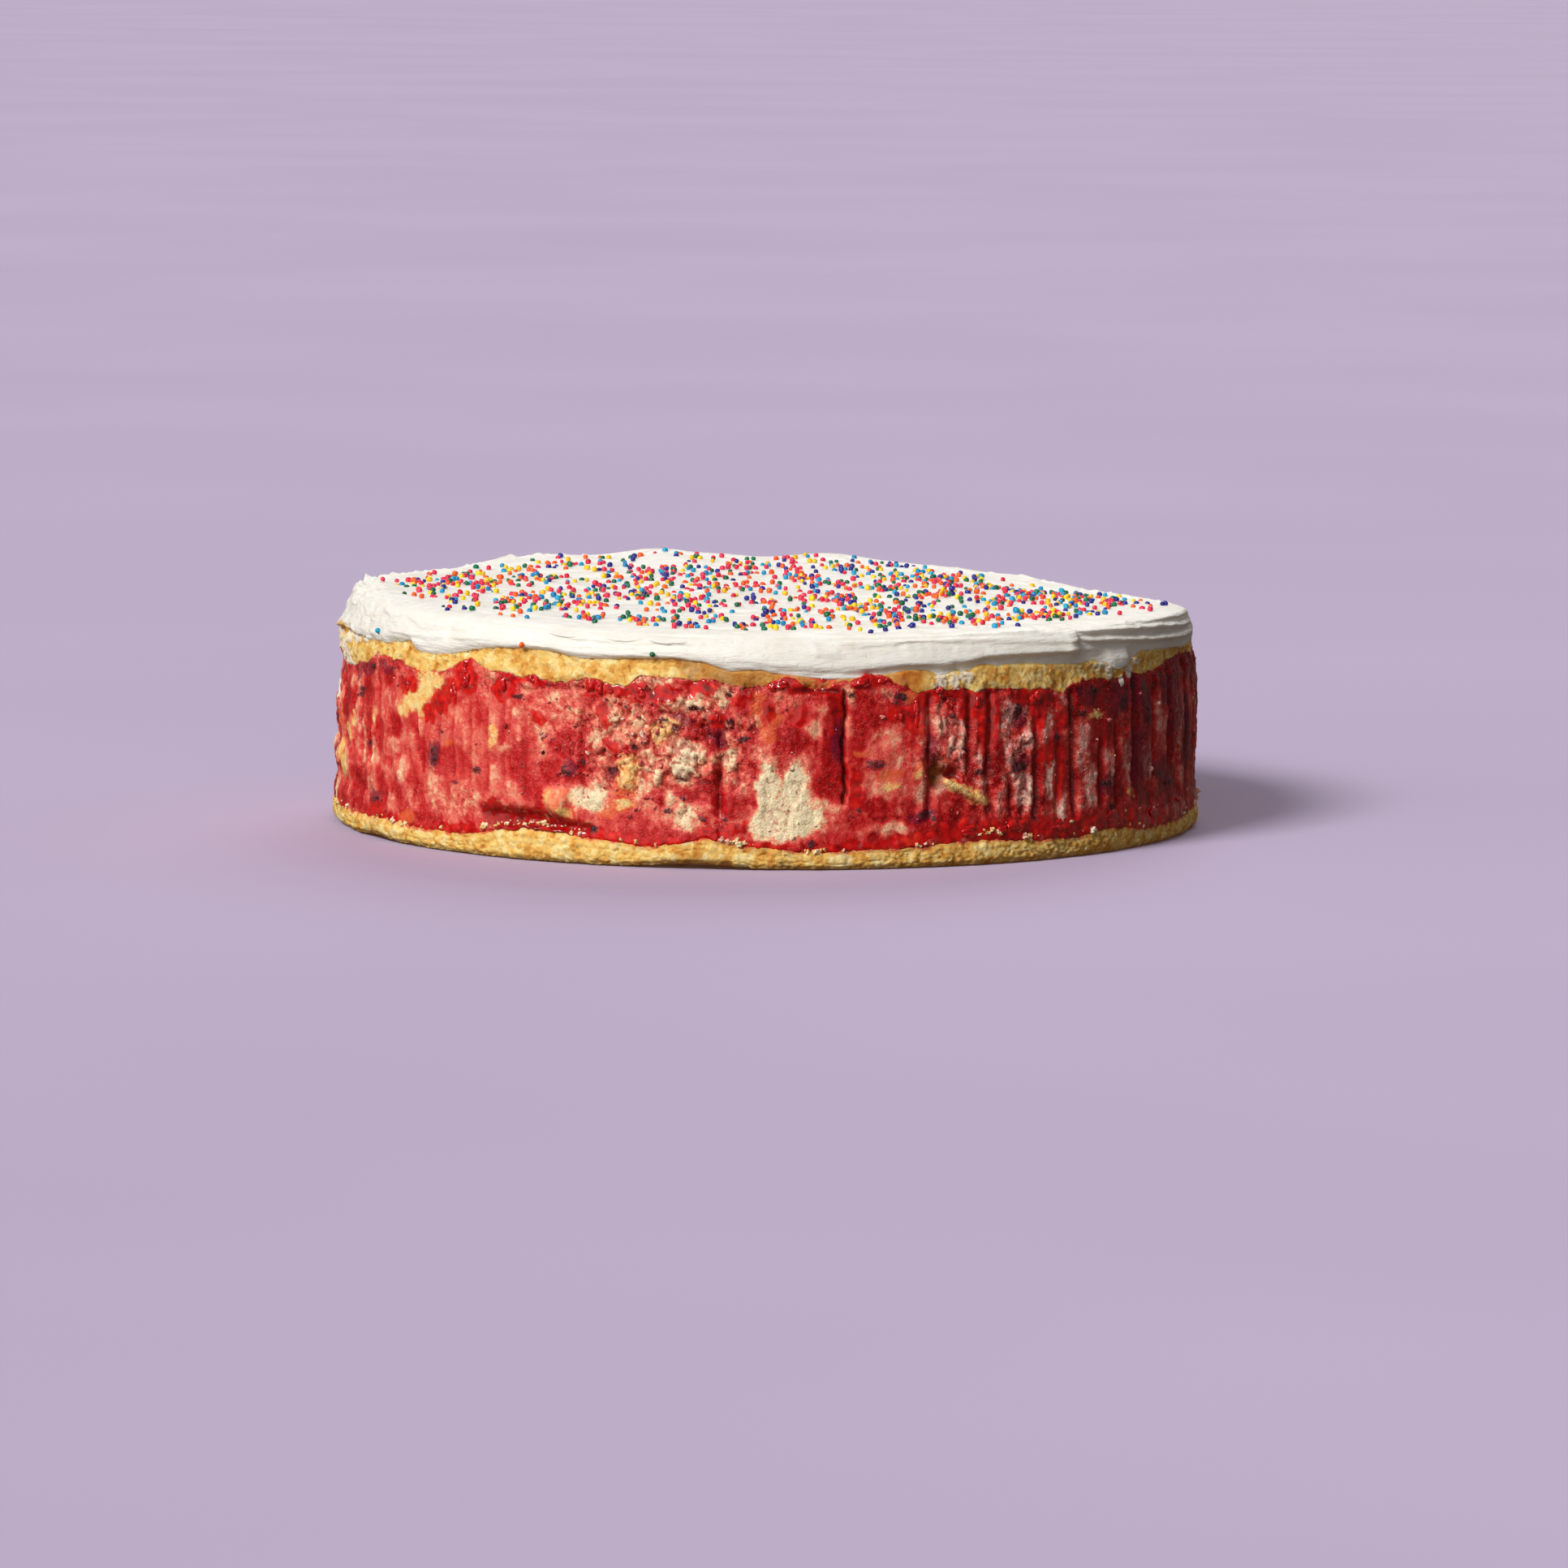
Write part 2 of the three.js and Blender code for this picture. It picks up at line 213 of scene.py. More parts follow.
rim_height = ring_curve(
    [(-90, 61.5), (-80, 61.6), (-70, 61.5), (-60, 61.0), (-50, 60.6), (-40, 60.1), (-30, 59.5), (-20, 59.0),
     (-10, 58.6), (0, 58.4), (10, 58.3), (20, 58.3), (40, 58.4), (60, 58.5), (75, 58.2), (83, 57.6), (90, 57.0),
     (100, 56.2), (107, 55.6), (119, 55.6), (126, 55.2), (131, 56.2), (136, 56.8), (141, 58.0), (146, 57.8),
     (152, 58.8), (158, 59.2), (164, 60.0), (168, 61.2), (172, 61.8), (176, 61.0), (181, 60.2), (185, 61.0),
     (189, 61.5), (193, 62.0), (197, 63.2), (202, 62.0), (207, 61.4), (213, 62.4), (218, 62.0), (223, 61.9),
     (230, 60.2), (238, 60.3), (246, 60.5), (254, 60.8), (262, 61.2)], 2.0)
WALL_FOOT = 0.0


def wall_points(t, z):
    return spot(t, R_WALL, z)


def lumpy(p, size, seed):
    """The ragged edge of torn crumb, -0.5 to 0.5."""
    a1, a2, who = cells(p, size, seed)
    b1, b2, tiny = cells(p, size * 0.5, seed + 7)
    return (who - 0.5) * smooth(0, 0.25, a2 - a1) + 0.45 * (tiny - 0.5) * smooth(0, 0.25, b2 - b1)


def base_top(t):
    p = wall_points(t, 0 * t)
    return base_top_soft(t) + 0.22 * fbm(p, 4.5, 11) + 0.12 * fbm(p, 1.4, 12) + 0.75 * lumpy(p, 2.1, 18)


def fill_top(t):
    p = wall_points(t, 0 * t)
    return fill_top_soft(t) + 0.3 * fbm(p, 5.0, 13) + 0.22 * fbm(p, 1.7, 14) + 0.8 * lumpy(p, 2.3, 19) + 0.9 * lumpy(p, 4.1, 29)


def icing_edge(t):
    p = wall_points(t, 0 * t)
    torn = 0.35 + 1.1 * hump(t, -66, 14) + 0.5 * hump(t, 24, 5) + 0.4 * hump(t, -132, 20)
    return icing_edge_soft(t) + torn * (0.28 * fbm(p, 3.6, 15) + 0.25 * fbm(p, 1.3, 16)) + 0.15 * fbm(p, 9, 17)


def foot_lift(t):
    return 1.3 * hump(t, -9, 6) + 0.9 * hump(t, -62, 4) + 0.5 * hump(t, 128, 7) + 0.4 * hump(t, -150, 8)


# ------------------------------------------------------------------ meshes from rings

def bearings(n, crowd):
    """n bearings round the cake, closer together at the front for crowd > 0."""
    u = TAU * np.arange(n) / n - math.pi
    return np.degrees(u - crowd * np.sin(u))


def stitch(ns):
    """Faces between neighbouring rings, as (ring, column) pairs; the column isn't wrapped."""
    quads, tris = [], []
    for k in range(len(ns) - 1):
        a, b = ns[k], ns[k + 1]
        if a == b:
            i = np.arange(a)
            quads.append(np.stack([np.stack([np.full(a, k), i], -1), np.stack([np.full(a, k + 1), i], -1),
                                   np.stack([np.full(a, k + 1), i + 1], -1), np.stack([np.full(a, k), i + 1], -1)], 1))
        elif a == 1:
            i = np.arange(b)
            tris.append(np.stack([np.stack([np.full(b, k), 0 * i], -1), np.stack([np.full(b, k + 1), i], -1),
                                  np.stack([np.full(b, k + 1), i + 1], -1)], 1))
        elif b == 1:
            i = np.arange(a)
            tris.append(np.stack([np.stack([np.full(a, k + 1), 0 * i], -1), np.stack([np.full(a, k), i + 1], -1),
                                  np.stack([np.full(a, k), i], -1)], 1))
        elif b == 2 * a:
            j = np.arange(a)
            A, B = np.full(a, k), np.full(a, k + 1)
            tris.append(np.stack([np.stack([A, j], -1), np.stack([B, 2 * j], -1), np.stack([B, 2 * j + 1], -1)], 1))
            tris.append(np.stack([np.stack([A, j], -1), np.stack([B, 2 * j + 1], -1), np.stack([A, j + 1], -1)], 1))
            tris.append(np.stack([np.stack([A, j + 1], -1), np.stack([B, 2 * j + 1], -1), np.stack([B, 2 * j + 2], -1)], 1))
        elif a == 2 * b:
            j = np.arange(b)
            A, B = np.full(b, k), np.full(b, k + 1)
            tris.append(np.stack([np.stack([B, j], -1), np.stack([A, 2 * j + 1], -1), np.stack([A, 2 * j], -1)], 1))
            tris.append(np.stack([np.stack([B, j], -1), np.stack([B, j + 1], -1), np.stack([A, 2 * j + 1], -1)], 1))
            tris.append(np.stack([np.stack([B, j + 1], -1), np.stack([A, 2 * j + 2], -1), np.stack([A, 2 * j + 1], -1)], 1))
        else:
            raise ValueError(f"rings of {a} and {b} points don't fit")
    return quads, tris


def put_mesh(name, co, faces, attrs=None, uv=None):
    """A mesh from points in millimetres and a list of face arrays, with point attributes and a uv for each corner."""
    me = bpy.data.meshes.new(name)
    me.vertices.add(len(co))
    me.vertices.foreach_set("co", (np.asarray(co) * MM).astype(np.float32).ravel())
    flat = np.concatenate([f.ravel() for f in faces]).astype(np.int32)
    total = np.concatenate([np.full(len(f), f.shape[1]) for f in faces])
    start = np.concatenate([[0], np.cumsum(total)[:-1]]).astype(np.int32)
    me.loops.add(len(flat))
    me.loops.foreach_set("vertex_index", flat)
    me.polygons.add(len(start))
    me.polygons.foreach_set("loop_start", start)
    me.update(calc_edges=True)
    me.polygons.foreach_set("use_smooth", np.ones(len(start), bool))
    for key, value in (attrs or {}).items():
        at = me.attributes.new(key, "FLOAT", "POINT")
        at.data.foreach_set("value", np.asarray(value, np.float32))
    if uv is not None:
        layer = me.uv_layers.new(name="OFBake")
        layer.data.foreach_set("uv", uv.astype(np.float32).ravel())
    me.validate(clean_customdata=False)
    me.update()
    ob = bpy.data.objects.new(name, me)
    bpy.context.scene.collection.objects.link(ob)
    return ob


def ring_mesh(name, rings, attrs=None, strips=4, share=0.94, lid=None):
    """A closed mesh from rings of points that run from the middle of the top, out and down the side,
    and in to the middle of the underside. strips and share lay the side out on the uv map."""
    ns = [len(r) for r in rings]
    starts = np.concatenate([[0], np.cumsum(ns)[:-1]])
    n_arr = np.array(ns)
    co = np.concatenate(rings)
    quads, tris = stitch(ns)
    big = max(ns)
    side = [k for k in range(len(ns)) if ns[k] == big]
    lo, hi = side[0], side[-1]
    if lid is not None:
        lo = lid
    faces, uvs = [], []
    for group in (quads, tris):
        for f in group:
            ring, col = f[:, :, 0], f[:, :, 1]
            faces.append(starts[ring] + col % n_arr[ring])
            part = col / n_arr[ring]
            on_side = (ring.min(1) >= lo) & (ring.max(1) <= hi)
            s = np.floor(np.minimum(part.mean(1), 0.99999) * strips)[:, None]
            u = 0.004 + 0.992 * (part * strips - s)
            v = (s + 0.03 + 0.94 * (ring - lo) / max(hi - lo, 1)) / strips * share
            top = (ring.min(1) <= lo)[:, None] & ~on_side[:, None]
            xyz = co[starts[ring] + col % n_arr[ring]]
            if lid is not None:
                tu, tv = 0.5 * (1 - share) + xyz[:, :, 0] / 240 * (1 - share), share + 0.5 * (1 - share) + xyz[:, :, 1] / 240 * (1 - share)
            else:
                tu, tv = 0.03 + xyz[:, :, 0] / 240 * 0.05, share + 0.03 + xyz[:, :, 1] / 240 * 0.05
            bu, bv = 0.1 + tu, tv
            if lid is not None:
                bu, bv = (1 - share) + 0.06 + xyz[:, :, 0] / 240 * 0.1, share + 0.06 + xyz[:, :, 1] / 240 * 0.1
            side_m = np.broadcast_to(on_side[:, None], u.shape)
            top_m = np.broadcast_to(top, u.shape)
            uvs.append(np.stack([np.where(side_m, u, np.where(top_m, tu, bu)), np.where(side_m, v, np.where(top_m, tv, bv))], -1).reshape(-1, 2))
    return put_mesh(name, co, faces, attrs, np.concatenate(uvs))


# ------------------------------------------------------------------ the cut side of the filling

# Grooves that a blade left down the side: bearing, lowest and highest point, depth, half width in degrees.
GROOVES = [
    (-78.0, 12, 40, 0.7, 0.6), (-71.5, 10, 44, 0.9, 0.7), (-68.0, 16, 42, 0.8, 0.5), (-64.6, 19, 36, 0.9, 0.35),
    (-61.8, 18, 42, 0.6, 0.4), (-58.6, 14, 34, 0.5, 0.4), (-56.3, 20, 33, 0.6, 0.35), (-53.9, 22, 31, 0.5, 0.3),
    (-52.0, 22, 35, 0.6, 0.35), (-50.6, 20, 35, 0.5, 0.3), (-47.6, 18, 36, 0.7, 0.4), (-44.6, 19, 38, 0.7, 0.35),
    (-41.4, 19, 37, 0.7, 0.35), (-38.6, 17, 39, 0.5, 0.3), (-36.0, 20, 40, 0.5, 0.3), (-34.9, 20, 40, 0.45, 0.25),
    (-32.6, 18, 40, 0.6, 0.35), (-24.1, 17, 38, 0.8, 0.4), (-13.0, 15, 26, 0.7, 0.5), (-5.9, 14, 38, 1.3, 0.55),
    (6.6, 28, 40, 0.3, 0.3), (21.4, 13, 44, 1.2, 0.5), (26.8, 24, 45, 0.9, 0.45), (30.0, 13, 45, 1.1, 0.55),
    (33.3, 12, 22, 0.9, 0.5), (37.2, 11, 36, 1.3, 0.5), (40.9, 12, 30, 0.7, 0.4), (48.9, 12, 30, 1.0, 0.45),
    (52.4, 11, 32, 1.0, 0.5), (56.6, 13, 45, 1.1, 0.55), (62.0, 15, 44, 1.0, 0.5), (67.2, 20, 45, 1.2, 0.6),
    (70.6, 12, 30, 0.7, 0.5), (74.5, 8, 45, 1.3, 0.8), (79.5, 12, 40, 0.9, 0.6),
]
CRACK = dict(at=10.05, low=16.5, high=46.0, depth=2.6)

# Places on the side, by kind: bearing, height, half width in degrees, half height.
CREAM = [
    (3.7, 21, 2.0, 6.5), (3.0, 13.5, 3.2, 5.2), (0.2, 20.5, 1.3, 7.5), (0.4, 12.5, 1.9, 4.8), (5.6, 12.8, 2.4, 3.0),
    (6.9, 16.4, 1.6, 1.6), (8.6, 16.2, 1.6, 0.6), (2.0, 10.5, 3.6, 2.2), (-10.3, 13.2, 1.2, 3.4), (-12.4, 18.0, 0.8, 2.6),
    (-9.0, 15.5, 1.5, 0.7), (-10.2, 27.5, 1.8, 5.6), (-8.6, 28.5, 1.1, 3.0), (-23.0, 17.5, 2.4, 3.2),
    (-21.6, 15.6, 1.4, 1.6), (-10.2, 42.2, 1.9, 1.9), (-5.9, 45.0, 1.0, 2.3), (-22.2, 32.3, 1.2, 2.0),
    (-4.9, 28.8, 1.5, 2.6), (-14.0, 23.0, 0.7, 2.6), (-1.2, 30.0, 1.2, 1.0), (-55.3, 19.5, 1.3, 2.2), (-34.6, 18.5, 0.9, 1.5),
    (-19.5, 37.5, 0.6, 1.4), (-16.0, 38.0, 0.6, 1.8), (7.1, 41.6, 0.9, 1.2), (6.0, 36.3, 1.0, 2.2),
    (22.8, 42, 0.7, 2.2), (23.2, 36.5, 1.2, 2.2), (25.5, 35, 0.9, 3.6), (24.6, 30, 1.1, 2.6), (28.6, 27.5, 0.9, 2.6),
    (28.8, 21, 0.9, 2.6), (32.5, 40.3, 1.2, 3.2), (32.2, 36, 1.0, 1.8), (35.3, 31.5, 1.9, 2.6), (33.2, 28, 0.7, 3.6),
    (36.0, 19, 1.1, 4.0), (33.8, 20, 0.6, 2.8), (31.3, 15.5, 0.7, 2.6), (39.2, 34.5, 1.1, 3.2), (39.8, 21, 0.9, 5.2),
    (41.5, 14, 1.0, 3.4), (45.3, 29, 1.3, 7.4), (46.5, 19, 1.1, 5.4), (45.6, 23, 1.2, 1.2), (51.0, 23.5, 0.9, 4.6),
    (55.2, 22, 0.9, 5.4), (61.0, 22, 1.3, 4.6), (63.5, 34, 1.2, 5.4), (71.0, 32, 1.4, 8.0), (62.0, 16, 0.9, 1.8),
    (64.5, 11.7, 1.3, 1.0), (72.0, 17, 1.8, 2.6), (41.8, 40, 0.8, 2.4), (20.4, 18.6, 0.9, 2.6),
    (-72, 39.5, 1.4, 1.0), (-70, 33.3, 1.2, 1.2), (-60, 38.5, 0.9, 1.2), (-57, 37, 1.0, 1.5), (-58, 11, 1.0, 1.8),
    (-57.5, 25.3, 1.2, 2.0), (-53.6, 28, 0.6, 2.0), (-51, 31, 0.6, 2.6), (-48.5, 18.5, 1.2, 1.5), (-49, 15.7, 0.6, 1.4),
    (-44, 37, 0.7, 1.8), (-37.3, 36, 0.7, 2.0), (-37.2, 20.5, 0.8, 3.2), (-37, 17, 1.0, 1.3), (-36, 14, 1.0, 0.9),
    (-33.6, 38.2, 1.0, 1.2), (-40.8, 25.5, 0.7, 1.8), (-35.5, 28, 0.6, 1.5), (-38.5, 46.7, 1.0, 0.8),
    (-15.5, 47.8, 1.8, 0.9), (-12.8, 47.6, 1.2, 0.8), (10.7, 44.5, 0.45, 3.0), (10.8, 36.5, 0.5, 3.0),
    (16.8, 10.3, 2.2, 1.2), (14.5, 10.6, 1.4, 0.7), (-63.5, 13.5, 1.2, 1.6), (-67.5, 20.5, 0.8, 2.4),
]
BLUSH = [  # pale crumb that has taken up some of the red
    (-38.5, 44.0, 1.6, 3.0), (-33.0, 42.5, 1.5, 1.8), (-43.0, 13.5, 5.0, 3.8), (-68.0, 27.0, 2.4, 3.0),
    (-27.0, 38.0, 4.6, 3.4), (-19.5, 43.5, 1.4, 2.0), (-3.5, 22.5, 2.2, 3.6), (-8.8, 23.5, 1.6, 2.6), (-15.6, 18.5, 2.4, 3.0),
    (8.6, 23.0, 0.8, 3.4), (14.5, 32.0, 3.4, 3.6), (13.0, 22.0, 2.6, 3.4), (16.5, 27.5, 2.0, 3.0), (14.0, 43.5, 1.8, 2.4), (2.5, 43.0, 2.2, 2.6), (-1.5, 38.0, 1.6, 3.0), (4.8, 29.5, 1.6, 3.0), (24.0, 26.0, 1.6, 2.6), (26.0, 31.5, 1.8, 2.0), (31.8, 31.5, 1.2, 3.0),
    (36.2, 36.0, 1.2, 2.4), (35.0, 16.5, 1.4, 3.2), (43.0, 33.0, 0.9, 4.6), (46.5, 13.0, 1.6, 2.4), (58.5, 27.0, 1.2, 6.0),
    (66.0, 28.0, 1.2, 6.0), (70.5, 22.0, 1.8, 3.6), (-31.0, 30.5, 1.8, 3.8), (-62.5, 21.5, 1.2, 3.4), (-52.8, 12.5, 2.2, 2.4),
    (-4.0, 12.5, 1.6, 1.6), (-27.4, 15.6, 1.6, 3.0), (-37.6, 31.0, 0.9, 3.6), (-28.5, 42.8, 1.6, 1.6), (-15.0, 27.0, 3.6, 3.4), (-12.5, 33.0, 2.4, 3.0), (19.5, 33.0, 1.2, 3.0), (13.4, 41.0, 1.2, 1.6), (54.0, 27.5, 0.9, 3.6),
]
YELLOW = [
    (-49.3, 43.5, 2.5, 3.2), (-52.5, 37.8, 2.7, 2.7), (-55.0, 35.3, 1.1, 1.8), (-50.4, 40.5, 2.0, 1.8), (-17.6, 25.0, 1.3, 2.8),
    (-17.9, 22.0, 1.4, 1.7), (-13.3, 35.0, 1.3, 2.2), (-12.5, 37.2, 1.0, 1.0), (-18.3, 16.2, 1.3, 0.8), (-28.9, 17.0, 0.6, 1.4),
    (-26.6, 13.6, 1.1, 1.0), (-76, 17, 1.8, 2.6), (-73.5, 26, 1.0, 2.0), (-78, 21, 2.2, 2.0), (19.8, 24.5, 0.7, 1.2),
    (15.8, 21.5, 0.9, 0.8),     (-63.3, 32.0, 0.4, 2.6), (-37.6, 31.0, 0.5, 3.0), (47.6, 36.6, 1.5, 0.7), (24.6, 21.0, 0.9, 0.9), (26.0, 19.7, 1.2, 0.9),
    (27.4, 18.3, 1.3, 0.9), (28.8, 16.9, 1.0, 0.9), (-71.5, 30.0, 0.8, 1.6), (56.0, 15.5, 0.9, 1.4),
]
ORANGE = [
    (0.5, 35.5, 0.9, 3.0), (-1.0, 41.0, 1.6, 2.0), (1.2, 38.8, 1.4, 1.6), (-54.3, 41.0, 1.5, 1.6), (-18.0, 19.2, 1.6, 1.4),
    (-20.6, 13.6, 1.3, 1.2), (16.0, 24.6, 1.6, 0.9), (20.0, 26.5, 0.7, 1.2), (18.4, 44.2, 1.0, 1.0), (-48.8, 39.6, 1.2, 1.2),
    (12.2, 29.6, 1.0, 0.5), (-27.5, 12.2, 1.2, 0.7), (-54.3, 7.3, 2.2, 1.2), (-28.0, 15.6, 0.8, 2.6), (-26.4, 17.4, 0.7, 1.0), (-0.6, 44.0, 0.9, 1.5), (-45.5, 28.3, 0.6, 1.0), (-18.6, 16.0, 1.6, 1.2),
]
JELLY = [
    (-42.8, 47.6, 1.9, 2.6), (-42.0, 44.6, 1.5, 2.2), (-45.0, 42.0, 1.6, 2.0), (-47.0, 38.4, 1.5, 2.4), (-49.0, 35.4, 1.1, 1.6),
    (-36.0, 43.8, 1.5, 3.2), (-34.6, 46.3, 1.6, 1.0), (-31.4, 46.5, 1.8, 0.9), (-54.3, 42.0, 1.7, 1.4), (-22.0, 46.0, 1.7, 2.2),
    (-19.0, 45.2, 1.3, 1.2), (-16.0, 44.5, 2.0, 2.0), (-12.8, 45.0, 1.4, 2.0), (-21.3, 40.0, 0.8, 2.0), (-20.6, 36.6, 0.4, 0.9),
    (-20.0, 31.0, 0.8, 1.0), (-8.2, 46.2, 1.5, 1.7), (-6.0, 38.5, 1.0, 2.0), (-3.0, 43.5, 1.0, 1.6), (0.3, 41.0, 0.7, 3.2),
    (2.4, 48.2, 2.0, 1.2), (7.0, 48.0, 1.2, 1.0), (6.0, 46.0, 2.8, 0.8), (4.3, 40.0, 0.9, 2.4), (9.0, 42.5, 0.8, 3.0),
    (12.8, 47.9, 2.3, 1.4), (11.4, 21.0, 0.9, 4.5), (17.3, 39.0, 1.6, 2.5), (19.8, 38.0, 1.5, 5.2), (21.5, 44.0, 1.0, 1.8),
    (25.0, 44.3, 1.2, 1.4), (27.5, 41.0, 1.5, 3.8), (29.5, 38.0, 1.3, 6.6), (29.3, 32.0, 0.9, 3.0), (36.5, 42.0, 2.4, 1.9),
    (37.5, 38.0, 1.2, 3.8), (38.4, 27.5, 1.2, 2.4), (41.0, 36.5, 0.9, 4.6), (41.2, 22.0, 0.8, 7.6), (38.9, 42.5, 2.0, 1.2),
    (44.0, 6.8, 5.0, 1.4),
    (-44, 6.4, 4.0, 0.9), (-37.5, 12.8, 1.6, 2.0), (-33.4, 10.4, 5.2, 3.0), (-27.4, 9.6, 3.8, 2.5), (-23.6, 8.6, 2.4, 1.2),
    (-19.0, 7.0, 3.6, 0.8), (-13.0, 6.8, 3.0, 0.9), (-6.0, 9.2, 2.4, 1.1), (-3.0, 11.0, 1.4, 1.3), (-60, 6.5, 3.8, 0.9),
    (-62.5, 8.0, 1.4, 1.3), (0.0, 6.2, 3.0, 0.6), (12.0, 6.1, 4.0, 0.8), (17.0, 7.0, 2.6, 0.9), (20.4, 7.6, 1.6, 1.0),
    (25.0, 8.4, 4.0, 1.9), (32.0, 8.8, 5.0, 2.0), (40.0, 8.2, 5.0, 2.0), (50.0, 8.8, 5.6, 2.2), (60.0, 7.6, 6.4, 2.4),
    (70.0, 8.0, 5.6, 2.0), (-30.4, 36.5, 0.7, 1.3),
]
SOAKED = [  # crumb full of syrup: deep, but not glossy
    (-31.5, 19.2, 1.4, 2.4), (-42.7, 24.0, 1.1, 3.0), (-45.0, 24.0, 0.7, 3.4), (-34.0, 23.5, 1.2, 3.2), (-53.0, 18.0, 1.7, 3.8),
    (-52.6, 31.5, 1.0, 2.2), (-57.0, 31.0, 1.2, 2.8), (-65.5, 28.0, 1.0, 6.4), (-66.0, 38.0, 1.4, 4.6), (-59.0, 43.0, 1.3, 2.0),
    (-8.5, 19.5, 2.5, 2.2), (-13.5, 17.5, 1.0, 2.0), (-1.8, 17.0, 0.9, 1.0), (8.4, 30.5, 1.6, 13.0), (4.0, 34.5, 1.4, 4.0),
    (8.0, 21.0, 1.6, 3.6), (6.2, 24.5, 1.0, 3.0), (11.9, 34.0, 1.0, 5.0), (12.5, 42.5, 1.2, 2.6), (14.0, 39.0, 1.6, 3.0),
    (17.5, 12.0, 5.0, 2.0), (14.0, 16.5, 2.6, 1.6), (24.0, 13.0, 4.0, 2.6), (30.5, 26.0, 0.9, 9.0), (33.5, 44.0, 1.6, 2.0),
    (34.4, 33.0, 0.9, 3.4), (37.4, 22.0, 0.9, 7.0), (43.6, 40.0, 1.0, 4.0), (43.7, 22.0, 0.7, 9.0), (49.0, 40.0, 2.4, 4.8),
    (51.0, 33.0, 1.6, 6.0), (54.0, 42.0, 2.6, 3.8), (48.6, 20.0, 0.7, 8.0), (53.0, 20.0, 0.8, 7.0), (57.2, 28.0, 0.9, 12.0),
    (59.6, 42.0, 1.6, 4.0), (61.6, 38.0, 1.0, 6.0), (65.0, 40.0, 1.2, 5.0), (67.6, 30.0, 0.9, 11.0), (69.5, 42.0, 2.0, 4.0),
    (74.2, 26.0, 1.4, 14.0), (58.5, 17.0, 1.6, 4.0), (68.0, 15.0, 2.0, 3.4), (-46.4, 22.5, 1.0, 3.6), (-50.6, 26.0, 0.9, 4.0),
    (-36.2, 33.0, 0.8, 3.8), (-32.2, 27.0, 0.9, 5.0), (-26.5, 30.0, 1.4, 3.8), (-24.4, 22.0, 1.2, 3.4), (-61.6, 28.0, 0.9, 5.4),
    (-60.5, 14.0, 1.8, 2.8), (-40.0, 36.5, 1.3, 2.6), (-4.8, 17.5, 1.2, 3.0), (-6.5, 32.0, 1.2, 3.2), (-1.0, 26.5, 1.0, 1.8),
    (-18.3, 28.5, 1.0, 1.6), (-29.0, 23.0, 1.4, 3.0), (-57.0, 14.5, 1.4, 2.4), (-69.5, 14.0, 2.4, 3.4), (-75.0, 34.0, 1.6, 5.0),
    # The two near the knob, at -25.5 and -30.4, darken the crumb on either side of it; the one at -25.5 is painted
    # shade on the knob's right.
    (1.8, 33.0, 1.0, 2.2), (-9.0, 35.5, 1.4, 1.8), (-25.5, 16.0, 0.5, 3.2), (-30.4, 15.4, 0.5, 2.8),
]
PURPLE = [
    (-48.2, 24.5, 0.9, 3.4), (-66.5, 44.5, 1.8, 2.6), (-70.5, 42.5, 1.6, 2.0), (-5.8, 36.0, 1.3, 3.6), (-11.0, 38.2, 1.6, 1.2),
    (9.2, 34.0, 0.6, 8.0), (17.0, 43.2, 1.6, 1.6), (34.0, 38.5, 1.3, 3.0), (34.6, 25.0, 1.7, 2.4),
    (46.5, 42.0, 2.2, 2.4), (53.5, 40.0, 2.6, 4.0), (57.0, 41.0, 1.6, 4.2), (60.0, 36.0, 1.6, 5.0), (50.5, 17.5, 2.0, 2.4),
    (64.0, 19.0, 2.4, 3.6), (70.0, 34.0, 2.2, 9.0), (75.0, 26.0, 2.6, 12.0), (20.5, 13.5, 1.6, 1.4), (-25.6, 24.3, 0.9, 1.1),
    (-19.8, 24.0, 1.2, 1.4), (66.5, 40.0, 1.8, 5.0), (21.6, 30.5, 0.6, 3.0), (-63.2, 10.5, 1.6, 1.6), (-60.5, 45.5, 1.6, 1.8),
    (58.0, 24.0, 3.0, 8.0),
]
